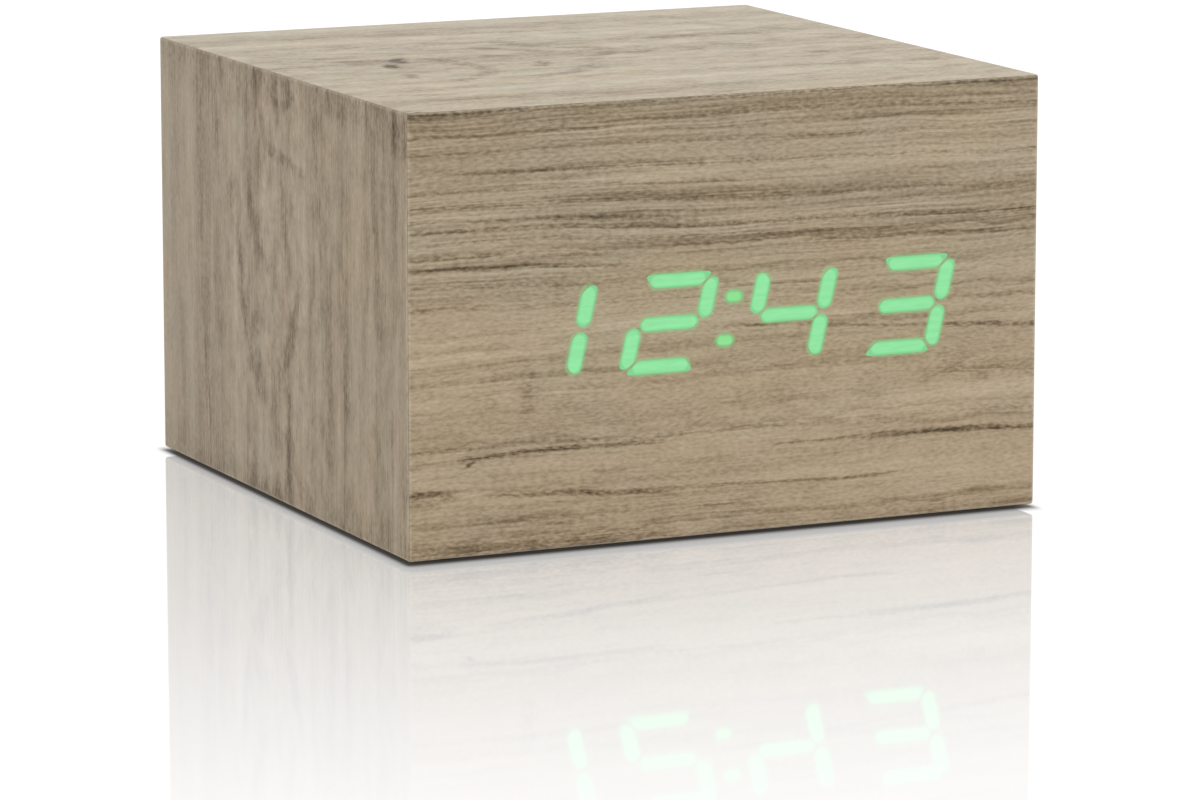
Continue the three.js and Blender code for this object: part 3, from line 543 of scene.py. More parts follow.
LEFT_MARKS = [
    ((66, -40), (66, 140), 0, 10, 0.13), ((-2, -40), (-2, 140), 0, 10, 0.11),
    ((66.5, 41.5), (66.5, 59.5), 6.2, 1.6, 0.20), ((66.5, 44.5), (66.5, 56), 3.2, 1.2, 0.16),
    ((53.6, 44.5), (52.2, 53.5), 0.5, 1.8, 0.18), ((52.8, 51.5), (50.6, 62), 0.3, 1.1, 0.12),
    ((48.5, 30), (31, 35.5), 0.9, 2.8, 0.15), ((34, 33.5), (14.5, 41.5), 0.9, 2.9, 0.15),
    ((48, 36.5), (34, 45.5), 1.2, 2.5, 0.14), ((34.5, 57.5), (15, 47), -0.8, 2.5, 0.14),
    ((20, 47.5), (9, 45.8), -0.3, 2.1, 0.12), ((20, 52.8), (-8, 53.4), 0.4, 2.1, 0.16),
    ((48, 51.5), (38, 52), 0.3, 1.8, 0.11), ((28, 40), (14, 43), 0.8, 4.2, 0.10),
    ((64, 91), (61, 99), 0.5, 6.2, 0.21), ((64.5, 83), (65, 99), 0.2, 2.8, 0.13),
    ((0.5, 35), (1.5, 48), 0.4, 3.8, 0.16), ((0.5, 22), (1, 31), 0.2, 2.2, 0.11),
    ((70, 18.2), (34, 18), 0.5, 2.9, 0.10), ((34, 18.2), (-8, 18.8), -0.5, 3.2, 0.11),
    ((66, 24), (48, 24.4), 0.2, 2, 0.12), ((63, 64.5), (36, 65.5), 0.5, 2, 0.11),
    ((62, 86), (30, 87.5), 0.5, 1.9, 0.11), ((40, 74.5), (16, 75.5), -0.4, 1.9, 0.10),
    ((38, 69), (6, 68.5), 0.5, 2, 0.10),
]
TOP_MARKS = [
    ((23.2, 41.5), (21.2, 47), 0.6, 2, 0.50), ((19, 47.6), (17.8, 52.4), 0.3, 1.8, 0.48),
    ((8, 38.8), (22.5, 43), 1, 2, 0.18), ((27, 44), (30, 61.5), -1.2, 2.6, 0.16),
    ((31, 58), (18.5, 69), -1.5, 2.6, 0.16), ((41.8, 52), (38.5, 58.5), -0.3, 2, 0.21),
    ((17, 58), (15.8, 64), -0.3, 1.7, 0.18), ((15, 25.5), (48, 26.5), 2.2, 3.2, 0.12),
    ((44, 25), (55, 42), 2, 3.2, 0.13), ((38, 34), (48.5, 41.5), 1.2, 2.6, 0.11),
    ((56, 46), (47, 55), -0.6, 2.3, 0.15), ((50, 58), (32, 69.5), -0.8, 2.8, 0.14),
    ((28, 12.5), (68, 18.5), 1.8, 2.8, 0.11), ((66, 33.5), (90, 35.5), 0.8, 3, 0.11),
    ((82, 59.5), (100, 58), 0.5, 2.8, 0.11), ((57, 49), (62, 48.5), 0.2, 2.1, 0.15),
    ((0, 30), (12, 29), 0.3, 2.1, 0.11), ((-6, 89), (2.5, 99), 1, 2.8, 0.25),
]


def wood_materials():
    """One veneer for each board, each with its own grain."""
    front = (("x", 1, LEFT), ("z", 1, BASE), ("y", 1, FRONT))
    top = (("x", 1, LEFT), ("y", -1, BACK), ("z", -1, TOP))
    left = (("z", 1, BASE), ("y", -1, BACK), ("x", 1, LEFT))
    right = (("z", 1, BASE), ("y", 1, FRONT), ("x", -1, RIGHT))
    bottom = (("x", 1, LEFT), ("y", 1, FRONT), ("z", 1, BASE))
    back = (("x", -1, RIGHT), ("z", 1, BASE), ("y", -1, BACK_OUTER))
    return {
        "front_panel": make_wood("oak_front", front, FRONT_GRAIN, FRONT_MARKS, 3.0, glow=True),
        "top_panel": make_wood("oak_top", top, TOP_GRAIN, TOP_MARKS, 17.0),
        "left_panel": make_wood("oak_left", left, SIDE_GRAIN, LEFT_MARKS, 29.0),
        "right_panel": make_wood("oak_right", right, {**SIDE_GRAIN, "pith": (-25, 40)}, (), 41.0),
        "bottom_panel": make_wood("oak_bottom", bottom, {**STREAKY, "width": 98}, (), 53.0),
        "back_panel": make_wood("oak_back", back, STREAKY, (), 67.0),
    }


# ---- materials: the rest

TRACK_STEP = 1.27
WIRE_STEP = 1.27


def speckled(finish, colour, spread, size):
    """A colour that varies a little from place to place, at two scales; also its finer noise."""
    fine = finish.noise(finish.row, 1.0 / size, 3.0, 0.6)
    broad = finish.noise(finish.row, 0.09, 1.0)
    both = finish.plus(finish.times(fine, 0.6), finish.times(broad, 0.4))
    dark = tuple(channel * (1 - spread) for channel in colour)
    light = tuple(min(1.0, channel * (1 + spread)) for channel in colour)
    return finish.blend(finish.remap(both, 0.3, 0.7), dark, light), fine


def make_plastic(name, colour, roughness, grain, rise):
    plastic = Finish(name)
    shade, fine = speckled(plastic, colour, 0.18, grain)
    plastic.drive("Base Color", shade)
    plastic.drive("Roughness", plastic.remap(fine, 0.3, 0.7, roughness - 0.07, roughness + 0.07))
    plastic.bump(fine, rise)
    return plastic.material


def make_metal(name, colour, roughness, brushed):
    """A metal whose scratches are drawn out by the brushed factors along X, Y and Z."""
    metal = Finish(name, {"Metallic": 1.0})
    drawn = metal.noise(metal.vector("MULTIPLY", metal.row, brushed), 2.2, 3.0, 0.65)
    stain = metal.noise(metal.row, 0.25, 2.0)
    dull = tuple(channel * 0.72 for channel in colour)
    metal.drive("Base Color", metal.blend(metal.remap(stain, 0.35, 0.7), colour, dull))
    metal.drive("Roughness", metal.remap(drawn, 0.3, 0.7, roughness - 0.08, roughness + 0.12))
    metal.bump(drawn, 0.000012)
    return metal.material


def make_circuit_board():
    """Green lacquer over copper tracks, with tinned pads."""
    board = Finish("board_green")
    x, _, z = board.split(board.row)

    def tracks(place, other):
        lanes = board.math("DIVIDE", place, TRACK_STEP)
        line = board.math("COMPARE", board.math("FRACT", lanes), 0.5, 0.22)
        part = board.noise(board.join(board.times(other, 0.05), board.math("FLOOR", lanes)), 1.0, 0.0)
        return board.times(line, board.math("GREATER_THAN", part, 0.52))

    upright = board.math("GREATER_THAN", board.noise(board.join(x, z), 0.16, 1.0), 0.5)
    track = board.blend(upright, tracks(z, x), tracks(x, z))
    lacquer = board.blend(track, (0.010, 0.070, 0.030), (0.020, 0.125, 0.050))
    scatter = board.node("TexVoronoi", Vector=board.join(x, z), Scale=0.28)
    pad = board.math("LESS_THAN", scatter.outputs["Distance"], 0.13)
    board.drive("Base Color", board.blend(pad, lacquer, (0.62, 0.60, 0.55)))
    board.drive("Metallic", pad)
    board.drive("Roughness", board.remap(board.noise(board.row, 1.5), 0.3, 0.7, 0.28, 0.42))
    board.bump(track, 0.00004)
    return board.material


def make_cell_sleeve(name, way):
    """A printed shrink sleeve: green, with a copper band at the positive end, which lies
    towards way along Y."""
    sleeve = Finish(name)
    _, y, _ = sleeve.split(sleeve.row)
    along = sleeve.times(y, way)
    shade, fine = speckled(sleeve, (0.018, 0.10, 0.055), 0.2, 0.8)
    band = sleeve.math("GREATER_THAN", along, 10.0)
    line = sleeve.math("COMPARE", along, 9.2, 0.35)
    shade = sleeve.blend(band, shade, (0.55, 0.24, 0.10))
    sleeve.drive("Base Color", sleeve.blend(line, shade, (0.75, 0.75, 0.72)))
    sleeve.drive("Metallic", sleeve.times(band, 0.7))
    sleeve.drive("Roughness", sleeve.remap(fine, 0.3, 0.7, 0.26, 0.36))
    sleeve.bump(fine, 0.00001)
    return sleeve.material


def make_ribbon_finish():
    """Ten grey wires side by side, the first one marked red."""
    ribbon = Finish("ribbon_ridged")
    x, _, _ = ribbon.split(ribbon.row)
    ridge = ribbon.math("PINGPONG", x, WIRE_STEP / 2)
    shade, _ = speckled(ribbon, (0.36, 0.37, 0.38), 0.15, 1.2)
    marked = ribbon.math("GREATER_THAN", x, 4 * WIRE_STEP)
    ribbon.drive("Base Color", ribbon.blend(marked, shade, (0.45, 0.04, 0.03)))
    ribbon.drive("Roughness", ribbon.remap(ridge, 0.0, WIRE_STEP / 2, 0.65, 0.45))
    ribbon.bump(ribbon.remap(ridge, 0.0, WIRE_STEP / 2), 0.0003)
    return ribbon.material


def make_lit_finish(name, bright, deep):
    """Light through veneer: brightest along the middle of a segment, deeper green at its rim."""
    light = Finish(name, {"Specular IOR Level": 0.2, "Base Color": (0.02, 0.06, 0.03, 1.0)})
    middle = light.remap(gap_to_lit(light), 0.0, -0.5, smooth=True)
    x, _, z = light.split(light.row)
    grain = light.noise(light.join(light.math("DIVIDE", x, 6.0), z), 1.6, 2.0)
    even = light.remap(grain, 0.3, 0.7, 0.94, 1.04)
    colour = light.blend(middle, deep, bright)
    light.drive("Emission Color", light.blend(1.0, colour, light.join(even, even, even), "MULTIPLY"))
    light.drive("Emission Strength", 1.0)
    light.bump(grain, 0.00003)
    return light.material


# By slot: name, colour, roughness, and then the size in millimetres and the rise in metres of
# a plastic's grain, or how a metal is brushed.
PLASTICS = {
    "foot_rubber": ("rubber_dark", (0.020, 0.020, 0.021), 0.82, 0.5, 0.00005),
    "light_film": ("film_milky", (0.80, 0.84, 0.78), 0.42, 0.6, 0.00001),
    "white_plastic": ("plastic_white", (0.72, 0.72, 0.69), 0.45, 0.5, 0.00001),
    "black_epoxy": ("epoxy_black", (0.018, 0.018, 0.019), 0.52, 0.25, 0.00002),
    "black_abs": ("abs_black", (0.024, 0.025, 0.027), 0.50, 0.30, 0.00004),
    "black_button": ("abs_button", (0.030, 0.031, 0.034), 0.36, 0.5, 0.000015),
    "icon_grey": ("print_grey", (0.42, 0.43, 0.43), 0.55, 0.4, 0.00001),
    "lead_red": ("pvc_red", (0.36, 0.018, 0.014), 0.42, 0.6, 0.00001),
    "lead_black": ("pvc_black", (0.016, 0.016, 0.017), 0.42, 0.6, 0.00001),
}
METALS = {
    "zinc_steel": ("steel_zinc", (0.56, 0.57, 0.58), 0.32, (0.3, 1.0, 1.0)),
    "nickel_plate": ("nickel_bright", (0.66, 0.62, 0.54), 0.24, (1.0, 0.4, 1.0)),
}


def other_materials():
    return {
        **{slot: make_plastic(*finish) for slot, finish in PLASTICS.items()},
        **{slot: make_metal(*finish) for slot, finish in METALS.items()},
        "circuit_board": make_circuit_board(),
        "cell_sleeve": make_cell_sleeve("sleeve_green_copper", 1),
        "cell_sleeve_turned": make_cell_sleeve("sleeve_green_copper_turned", -1),
        "ribbon_grey": make_ribbon_finish(),
    }


# ---- mesh code


# Past these angles, in degrees, an edge is sharp.
SMOOTH_ANGLE, BOARD_SMOOTH_ANGLE = 35.0, 50.0


def finish_mesh(name, bm, smooth_angle=SMOOTH_ANGLE, unit=MM):
    """Turns a mesh into an object, scaled by unit to metres."""
    bmesh.ops.scale(bm, vec=(unit, unit, unit), verts=bm.verts)
    bmesh.ops.remove_doubles(bm, verts=bm.verts, dist=1e-8)
    bmesh.ops.recalc_face_normals(bm, faces=bm.faces)
    mesh = bpy.data.meshes.new(name)
    bm.to_mesh(mesh)
    bm.free()
    piece = bpy.data.objects.new(name, mesh)
    bpy.context.scene.collection.objects.link(piece)
    smooth_past(piece, smooth_angle)
    return piece


def smooth_past(piece, smooth_angle):
    bm = bmesh.new()
    bm.from_mesh(piece.data)
    for face in bm.faces:
        face.smooth = True
    for edge in bm.edges:
        edge.smooth = edge.is_manifold and edge.calc_face_angle(0.0) < math.radians(smooth_angle)
    bm.to_mesh(piece.data)
    bm.free()


def settle(piece, slot, node=None, body=CASE, material=None):
    """Gives a piece its material (the slot's finish unless one is given) and its body, and hides the CAD
    node that it stands for.
    """
    piece.data.materials.clear()
    piece.data.materials.append(material or FINISHES[slot])
    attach(piece, body)
    if node:
        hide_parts(node)


def add(name, bm, slot, node=None, body=CASE, material=None):
    settle(finish_mesh(name, bm), slot, node, body, material)


def block_mesh(low, high, radius=0.0, steps=2):
    """A block with rounded edges."""
    bm = bmesh.new()
    bmesh.ops.create_cube(bm, size=1.0)
    for vert in bm.verts:
        for axis in range(3):
            vert.co[axis] = high[axis] if vert.co[axis] > 0 else low[axis]
    if radius:
        bmesh.ops.bevel(
            bm, geom=bm.edges[:], offset=radius, segments=steps, profile=0.5, affect="EDGES"
        )
    return bm


def bar(spot, half, ends, radius=0.0):
    """A block between two places along Y, with the middle and half size of its x and z."""
    (x, z), (wide, tall) = spot, half
    return block_mesh((x - wide, ends[0], z - tall), (x + wide, ends[1], z + tall), radius)


def keep_side(bm, place, normal):
    """Cuts a closed mesh by a plane, throws away what lies along normal and closes the cut."""
    geometry = bm.verts[:] + bm.edges[:] + bm.faces[:]
    result = bmesh.ops.bisect_plane(
        bm, geom=geometry, plane_co=place, plane_no=normal, clear_outer=True, dist=1e-4
    )
    rim = [item for item in result["geom_cut"] if isinstance(item, bmesh.types.BMEdge)]
    if rim:
        bmesh.ops.edgeloop_fill(bm, edges=rim)


def loft(loops):
    """Skins closed loops of points in order and caps both ends."""
    bm = bmesh.new()
    rows = [[bm.verts.new(point) for point in loop] for loop in loops]
    count = len(rows[0])
    for lower, upper in zip(rows, rows[1:]):
        for i in range(count):
            j = (i + 1) % count
            bm.faces.new((lower[i], lower[j], upper[j], upper[i]))
    bm.faces.new(rows[0][::-1])
    bm.faces.new(rows[-1])
    return bm


FRAMES = {
    "y": (Vector((1, 0, 0)), Vector((0, 0, 1)), Vector((0, 1, 0))),
    "z": (Vector((1, 0, 0)), Vector((0, 1, 0)), Vector((0, 0, 1))),
}


def prism(outlines, axis="y"):
    """A loft through (place along the axis, outline) pairs of flat outlines."""
    across, up, along = FRAMES[axis]
    return loft([[across * p[0] + up * p[1] + along * place for p in flat] for place, flat in outlines])


def circle(centre, half_width, half_height, segments):
    turns = [2 * math.pi * step / segments for step in range(segments)]
    return [(centre[0] + half_width * math.cos(t), centre[1] + half_height * math.sin(t)) for t in turns]


def turned(profile, centre, axis="y", segments=64):
    """A piece turned about an axis, from (radius, place along the axis) pairs. centre gives the
    two coordinates of the axis."""
    return prism([(place, circle(centre, radius, radius, segments)) for radius, place in profile], axis)


def rod(centre, radius, ends, segments=24):
    return turned([(radius, end) for end in ends], centre, "y", segments)


def rounded_rectangle(centre, half, radius, steps=8):
    """The outline of a rectangle with round corners, as flat points."""
    points = []
    for quarter, (side_x, side_y) in enumerate(((1, 1), (-1, 1), (-1, -1), (1, -1))):
        for step in range(steps + 1):
            turn = math.pi / 2 * (quarter + step / steps)
            points.append((
                centre[0] + side_x * (half[0] - radius) + radius * math.cos(turn),
                centre[1] + side_y * (half[1] - radius) + radius * math.sin(turn),
            ))
    return points


def slab(centre, half, radius, levels, axis="y"):
    """A slab with a round-cornered outline. levels are (place along the axis, inset) pairs; a
    negative inset widens it."""
    outlines = []
    for place, inset in levels:
        smaller = [value - inset for value in half]
        outlines.append((place, rounded_rectangle(centre, smaller, max(radius - inset, 0.02))))
    return prism(outlines, axis)


def eased(low, high, radius, steps=3):
    """Levels for slab() that round both rims, from low to high."""
    turns = [math.pi / 2 * step / steps for step in range(steps + 1)]
    rim = [(radius * (1 - math.cos(turn)), radius * (1 - math.sin(turn))) for turn in turns]
    return [(low + up, inset) for up, inset in rim] + [(high - up, inset) for up, inset in rim[::-1]]


def tube(path, radius, sides=12):
    """A round wire along a path of points."""
    loops = []
    side = Vector((0, 0, 1)) if abs((path[1] - path[0]).normalized().z) < 0.9 else Vector((1, 0, 0))
    turns = [2 * math.pi * step / sides for step in range(sides)]
    for index, point in enumerate(path):
        before, after = path[max(index - 1, 0)], path[min(index + 1, len(path) - 1)]
        along = (after - before).normalized()
        side = (side - along * side.dot(along)).normalized()
        up = along.cross(side)
        loops.append([point + (side * math.cos(t) + up * math.sin(t)) * radius for t in turns])
    return loft(loops)


def shape(piece, operation, *tools):
    """Cuts or joins other meshes with a piece, and drops them."""
    tools = [finish_mesh("tool", tool) for tool in tools]
    for tool in tools:
        modifier = piece.modifiers.new("shape", "BOOLEAN")
        modifier.operation = operation
        modifier.solver = "EXACT"
        modifier.object = tool
    graph = bpy.context.evaluated_depsgraph_get()
    mesh = bpy.data.meshes.new_from_object(piece.evaluated_get(graph), depsgraph=graph)
    piece.modifiers.clear()
    piece.data = mesh
    for tool in tools:
        bpy.data.objects.remove(tool)
    smooth_past(piece, SMOOTH_ANGLE)


def refined(node, width):
    """The CAD node's own shape in metres, with its flat faces merged and its edges softened."""
    bm = bmesh.new()
    bm.from_mesh(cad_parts[node].data)
    bmesh.ops.remove_doubles(bm, verts=bm.verts, dist=1e-6)
    bmesh.ops.dissolve_limit(bm, angle_limit=math.radians(1.0), verts=bm.verts, edges=bm.edges)
    if width:
        sharp = [e for e in bm.edges if e.is_manifold and e.calc_face_angle(0.0) > math.radians(50)]
        bmesh.ops.bevel(
            bm, geom=sharp, offset=width, segments=2, profile=0.5, affect="EDGES", clamp_overlap=True
        )
    return finish_mesh(node + "_finished", bm, unit=1.0)


# ---- case

ARRIS, BACK_ARRIS = 0.45, 0.25
GLUE = 0.02
VENEER_SETBACK = 0.02
FIT = 0.15
POCKET_GAP = 0.2
OUTWARD = {
    "top_panel": Vector((0, 0, 1)),
    "bottom_panel": Vector((0, 0, -1)),
    "left_panel": Vector((-1, 0, 0)),
    "right_panel": Vector((1, 0, 0)),
    "front_panel": Vector((0, -1, 0)),
}
PLATE_HALF = (38.0, 18.0)
PLATE_CORNER = 3.0
PLATE_LEDGE = 5.0
BAY_HALF, BAY_HEIGHT = (23.9, 26.95), 8
FLANGE_HALF = (25.75, 28.8)
FLANGE_CORNER = 3.0
FLANGE_DEPTH = 1.65
SCREW_BORE = 1.05


def face_point(way):
    """The middle of the block's face on one side, or of the edge between two sides."""
    sides = zip(way, (LEFT, FRONT, BASE), (RIGHT, BACK, TOP))
    return Vector([low if step < 0 else high if step > 0 else 0.0 for step, low, high in sides])


def board_mesh(name, front):
    """A board: the rounded block, cut by a mitre towards each neighbour and by its inner face."""
    out = OUTWARD[name]
    bm = block_mesh((LEFT, front, BASE), (RIGHT, BACK, TOP), ARRIS, 4)
    neighbours = [other for other in OUTWARD.values() if other.dot(out) == 0]
    cuts = [(face_point(out + other), other - out) for other in neighbours]
    cuts.append((face_point(out) - out * WALL, -out))
    for place, normal in cuts:
        away = normal.normalized()
        keep_side(bm, place - away * GLUE, away)
    return bm


def screw_bore(screw):
    """A hole just wider than a screw's shank, as a tool mesh."""
    low, high = box(screw)
    return rod(spot_of(screw), SCREW_BORE, (low.y - 1, high.y + 1))


def make_case(woods):
    pieces = {}
    for name in OUTWARD:
        setback = VENEER_SETBACK if name == "front_panel" else 0.0
        bm = board_mesh(name, FRONT + setback)
        pieces[name] = finish_mesh(name + "_veneered", bm, BOARD_SMOOTH_ANGLE)
        settle(pieces[name], "oak_veneer", name, CASE, woods[name])

    reflector_low, reflector_high = box("segment_reflector")
    film_low, _ = box("diffuser_film")
    room = Vector((POCKET_GAP, 0.0, POCKET_GAP))
    pocket_low, pocket_high = reflector_low - room, reflector_high + room
    pocket_low.y, pocket_high.y = film_low.y - 0.05, FRONT + WALL + 1
    bores = [screw_bore(f"display_screw_{number}") for number in (1, 2)]
    shape(pieces["front_panel"], "DIFFERENCE", block_mesh(pocket_low, pocket_high), *bores)

    bay = block_mesh((-BAY_HALF[0], -BAY_HALF[1], BASE - 1), (*BAY_HALF, BASE + BAY_HEIGHT))
    rabbet_half = [half + FIT for half in FLANGE_HALF]
    rabbet = slab((0, 0), rabbet_half, FLANGE_CORNER, [(BASE - 1, 0), (BASE + FLANGE_DEPTH, 0)], "z")
    shape(pieces["bottom_panel"], "DIFFERENCE", bay, rabbet)

    bm = block_mesh(*box("back_panel"), BACK_ARRIS, 3)
    back = finish_mesh("back_panel_veneered", bm, BOARD_SMOOTH_ANGLE)
    recess_half = [half + FIT for half in PLATE_HALF]
    recess_levels = [(PLATE_INNER, 0), (BACK_OUTER - 0.3, 0), (BACK_OUTER + 0.3, -0.6)]
    opening_half = [half - PLATE_LEDGE for half in PLATE_HALF]
    opening_levels = [(BACK_INNER - 1, 0), (PLATE_INNER + 1, 0)]
    shape(
        back, "DIFFERENCE",
        slab(PLATE_SPOT, recess_half, PLATE_CORNER, recess_levels),
        slab(PLATE_SPOT, opening_half, 0.5, opening_levels),
        *(screw_bore(f"rear_plate_screw_{number}") for number in range(1, 5)),
    )
    settle(back, "oak_veneer", "back_panel", CASE, woods["back_panel"])


def make_foot(node):
    low, high = box(node)
    middle = (low + high) / 2
    radius, ease = (high.x - low.x) / 2, 0.2
    profile = [
        (radius * 0.55, low.z + ease / 2), (radius * 0.6, low.z), (radius - ease * 1.4, low.z),
        (radius - ease * 0.4, low.z + ease * 0.5), (radius, low.z + ease * 1.4),
        (radius, high.z),
    ]
    add(node + "_pad", turned(profile, (middle.x, middle.y), "z"), "foot_rubber", node)


# ---- lit segments

LIT_DEPTH = 0.3
CORNER_RADIUS = 0.7
# Colours in the middle and at the rim.
SEGMENT_LIGHT = ((0.257, 0.71, 0.32), (0.19, 0.58, 0.25))
DOT_LIGHT = ((0.25, 0.68, 0.25), (0.16, 0.52, 0.18))


def rounded(outline, radius, steps=4):
    """An outline with its corners rounded, as far as its edges allow."""
    points = []
    count = len(outline)
    for index in range(count):
        before, corner, after = (Vector(outline[(index + k) % count]) for k in (-1, 0, 1))
        to_before, to_after = before - corner, after - corner
        start, end = (
            corner + side.normalized() * min(radius, side.length * 0.45) for side in (to_before, to_after)
        )
        for step in range(steps + 1):
            t = step / steps
            points.append(start * (1 - t) ** 2 + corner * 2 * t * (1 - t) + end * t**2)
    return points


def make_lit_segments():
    segment = make_lit_finish("lit_segment", *SEGMENT_LIGHT)
    dot = make_lit_finish("lit_dot", *DOT_LIGHT)
    outlines = segment_outlines()
    shapes = []
    for index, (cell, letters) in enumerate(zip(CELLS, SHOWN)):
        for letter in letters:
            slanted = [on_front(cell, point) for point in outlines[letter]]
            shapes.append((f"lit_digit_{index + 1}_{letter}", rounded(slanted, CORNER_RADIUS), segment))
    for name, rise in (("lower", -COLON_RISE), ("upper", COLON_RISE)):
        oval = circle(on_front(0.0, (0.0, rise)), *COLON_HALF, 40)
        shapes.append((f"lit_colon_{name}", oval, dot))
    for name, outline, material in shapes:
        bm = prism([(FRONT, outline), (FRONT + LIT_DEPTH, outline)])
        add(name, bm, "light_film", material=material)


# ---- screws

SHANK = 0.98
THREAD_PITCH = 0.55
PAN_HEIGHT = 1.25
CROSS_HALF, CROSS_DEPTH = 0.24, 0.7


def make_screw(node, flat_head=False):
    """A cross-recessed screw along Y in place of its CAD node, threaded below the head."""
    low, high = box(node)
    spot = spot_of(node)
    head = (high.x - low.x) / 2
    top, tip = (low.y, high.y) if node.startswith("board") else (high.y, low.y)
    way = 1 if top > tip else -1
    head_height = head - SHANK if flat_head else PAN_HEIGHT
    profile = [(0.15, tip), (SHANK * 0.75, tip + way * 0.5)]
    length = abs(top - tip) - head_height - 0.7
    turns = max(2, int(length / THREAD_PITCH))
    for turn in range(turns):
        start = tip + way * (THREAD_PITCH + length * turn / turns)
        profile += [(SHANK * 0.8, start), (SHANK, start + way * length / turns * 0.5)]
    under_head = top - way * head_height
    profile.append((SHANK * 0.8, under_head))
    if flat_head:
        profile += [(head, top - way * 0.12), (head - 0.08, top)]
    else:
        crown = [(head, top - way * 0.5), (head * 0.86, top - way * 0.15), (head * 0.6, top)]
        profile += [(head, under_head)] + crown
    piece = finish_mesh(node + "_turned", turned(profile, spot, "y", 40))
    ends = sorted((top - way * CROSS_DEPTH, top + way * CROSS_DEPTH))
    arms = [(head * 0.62, CROSS_HALF), (CROSS_HALF, head * 0.62)]
    shape(piece, "DIFFERENCE", *(bar(spot, half, ends) for half in arms))
    settle(piece, "zinc_steel", node)


# ---- rear plate and its controls

BUTTON_RADIUS, BUTTON_GAP, BUTTON_STEM = 3.5, 0.2, 1.5
GUARD_RADIUS, GUARD_RISE = 4.9, 0.4
BUTTONS = {"set": "ring", "up": "up", "down": "down"}
MARK_RADIUS, MARK_HOLE = 1.2, 0.75
VENT_STEP, VENT_HALF = 3.0, (0.6, 3.5)
KNOB_TRAVEL, KNOB_SLOT_HALF = 2.0, (2.6, 1.5)
KNOB_HALF, KNOB_RIDGES = (1.3, 1.2), 4
POST_RADIUS = 2.5
SOCKET_HOLE, SOCKET_NOSE, SOCKET_BORE = 3.4, 3.2, 1.85
MICROPHONE_HOLE = 0.75


def rim_hole(centre, radius, ease=0.2):
    """A round hole through the plate with a chamfered outer rim, as a tool mesh."""
    profile = [(radius, PLATE_INNER - 1), (radius, PLATE_OUTER - ease)]
    return turned(profile + [(radius + ease * 2, PLATE_OUTER + ease)], centre)


def rim_slot(centre, half, corner, ease=0.15):
    levels = [(PLATE_INNER - 1, 0), (PLATE_OUTER - ease, 0), (PLATE_OUTER + ease, -2 * ease)]
    return slab(centre, half, corner, levels)


def make_rear_plate():
    levels = [(PLATE_INNER, 0.0)] + eased(PLATE_INNER, PLATE_OUTER, 0.3)[4:]
    plate = finish_mesh("rear_plate_moulded", slab(PLATE_SPOT, PLATE_HALF, PLATE_CORNER, levels))
    screws = [spot_of(f"board_screw_{number}") for number in (1, 2)]
    buttons = [spot_of(f"button_{name}") for name in BUTTONS]
    guard = [
        (GUARD_RADIUS, PLATE_INNER + 1), (GUARD_RADIUS, PLATE_OUTER + GUARD_RISE / 2),
        (GUARD_RADIUS - 0.3, PLATE_OUTER + GUARD_RISE),
    ]
    shape(
        plate, "UNION",
        *(rod(spot, POST_RADIUS, (PLATE_FOOT, PLATE_INNER + 0.5), 32) for spot in screws),
        *(turned(guard, spot) for spot in buttons),
    )

    room = BUTTON_RADIUS + BUTTON_GAP
    hole = [(room, PLATE_INNER - 1), (room, PLATE_OUTER + 0.1), (room + 0.9, PLATE_OUTER + 1)]
    countersink = [
        (SCREW_BORE, PLATE_INNER - 1), (SCREW_BORE, PLATE_OUTER - 0.95),
        (SCREW_BORE * 2, PLATE_OUTER), (SCREW_BORE * 2, PLATE_OUTER + 1),
    ]
    vent_x, vent_z = spot_of("temperature_sensor")
    knob_x, knob_z = spot_of("slide_switch_knob")
    shape(
        plate, "DIFFERENCE",
        *(rod(spot, SCREW_BORE, (PLATE_FOOT - 1, PLATE_FOOT + 5)) for spot in screws),
        *(turned(hole, spot) for spot in buttons),
        *(rim_slot((vent_x + step * VENT_STEP, vent_z), VENT_HALF, 0.55) for step in (-1, 0, 1)),
        *(turned(countersink, spot_of(f"rear_plate_screw_{n}"), "y", 48) for n in range(1, 5)),
        rim_hole(spot_of("power_socket"), SOCKET_HOLE),
        rim_slot((knob_x + KNOB_TRAVEL / 2, knob_z), KNOB_SLOT_HALF, 0.4),
        rim_hole((0.0, knob_z), MICROPHONE_HOLE, 0.3),
    )
    settle(plate, "black_abs", "rear_plate")


def make_mark(name, kind, centre, ends):
    """The plain symbol on a button's crown: a ring, or a triangle that points up or down."""
    if kind == "ring":
        mark = finish_mesh(name, rod(centre, MARK_RADIUS, ends, 48))
        shape(mark, "DIFFERENCE", rod(centre, MARK_HOLE, (ends[0] - 1, ends[1] + 1), 48))
        return mark
    x, z = centre
    way = 1 if kind == "up" else -1
    corners = [(x - 1.15, z - way * 0.76), (x + 1.15, z - way * 0.76), (x, z + way * 0.95)]
    outline = rounded(corners, 0.35)
    return finish_mesh(name, prism([(end, outline) for end in ends]))


def make_button(name, kind):
    node, body = f"button_{name}", f"{name}_button"
    low, high = box(node)
    centre, crown, radius = spot_of(node), high.y, BUTTON_RADIUS
    flange, flange_inner, flange_outer = (high.x - low.x) / 2, low.y + 2, low.y + 3
    profile = [
        (BUTTON_STEM, low.y), (BUTTON_STEM, flange_inner), (flange, flange_inner), (flange, flange_outer),
        (radius, flange_outer), (radius, crown - 0.45), (radius - 0.07, crown - 0.2),
        (radius - 0.25, crown - 0.05), (radius - 0.5, crown), (radius - 0.9, crown - 0.06),
        (radius * 0.4, crown - 0.2), (0.2, crown - 0.22),
    ]
    add(f"{node}_turned", turned(profile, centre), "black_button", node, body)
    mark = make_mark(f"{node}_mark", kind, centre, (crown - 0.35, crown - 0.08))
    settle(mark, "white_plastic", None, body, FINISHES["icon_grey"])


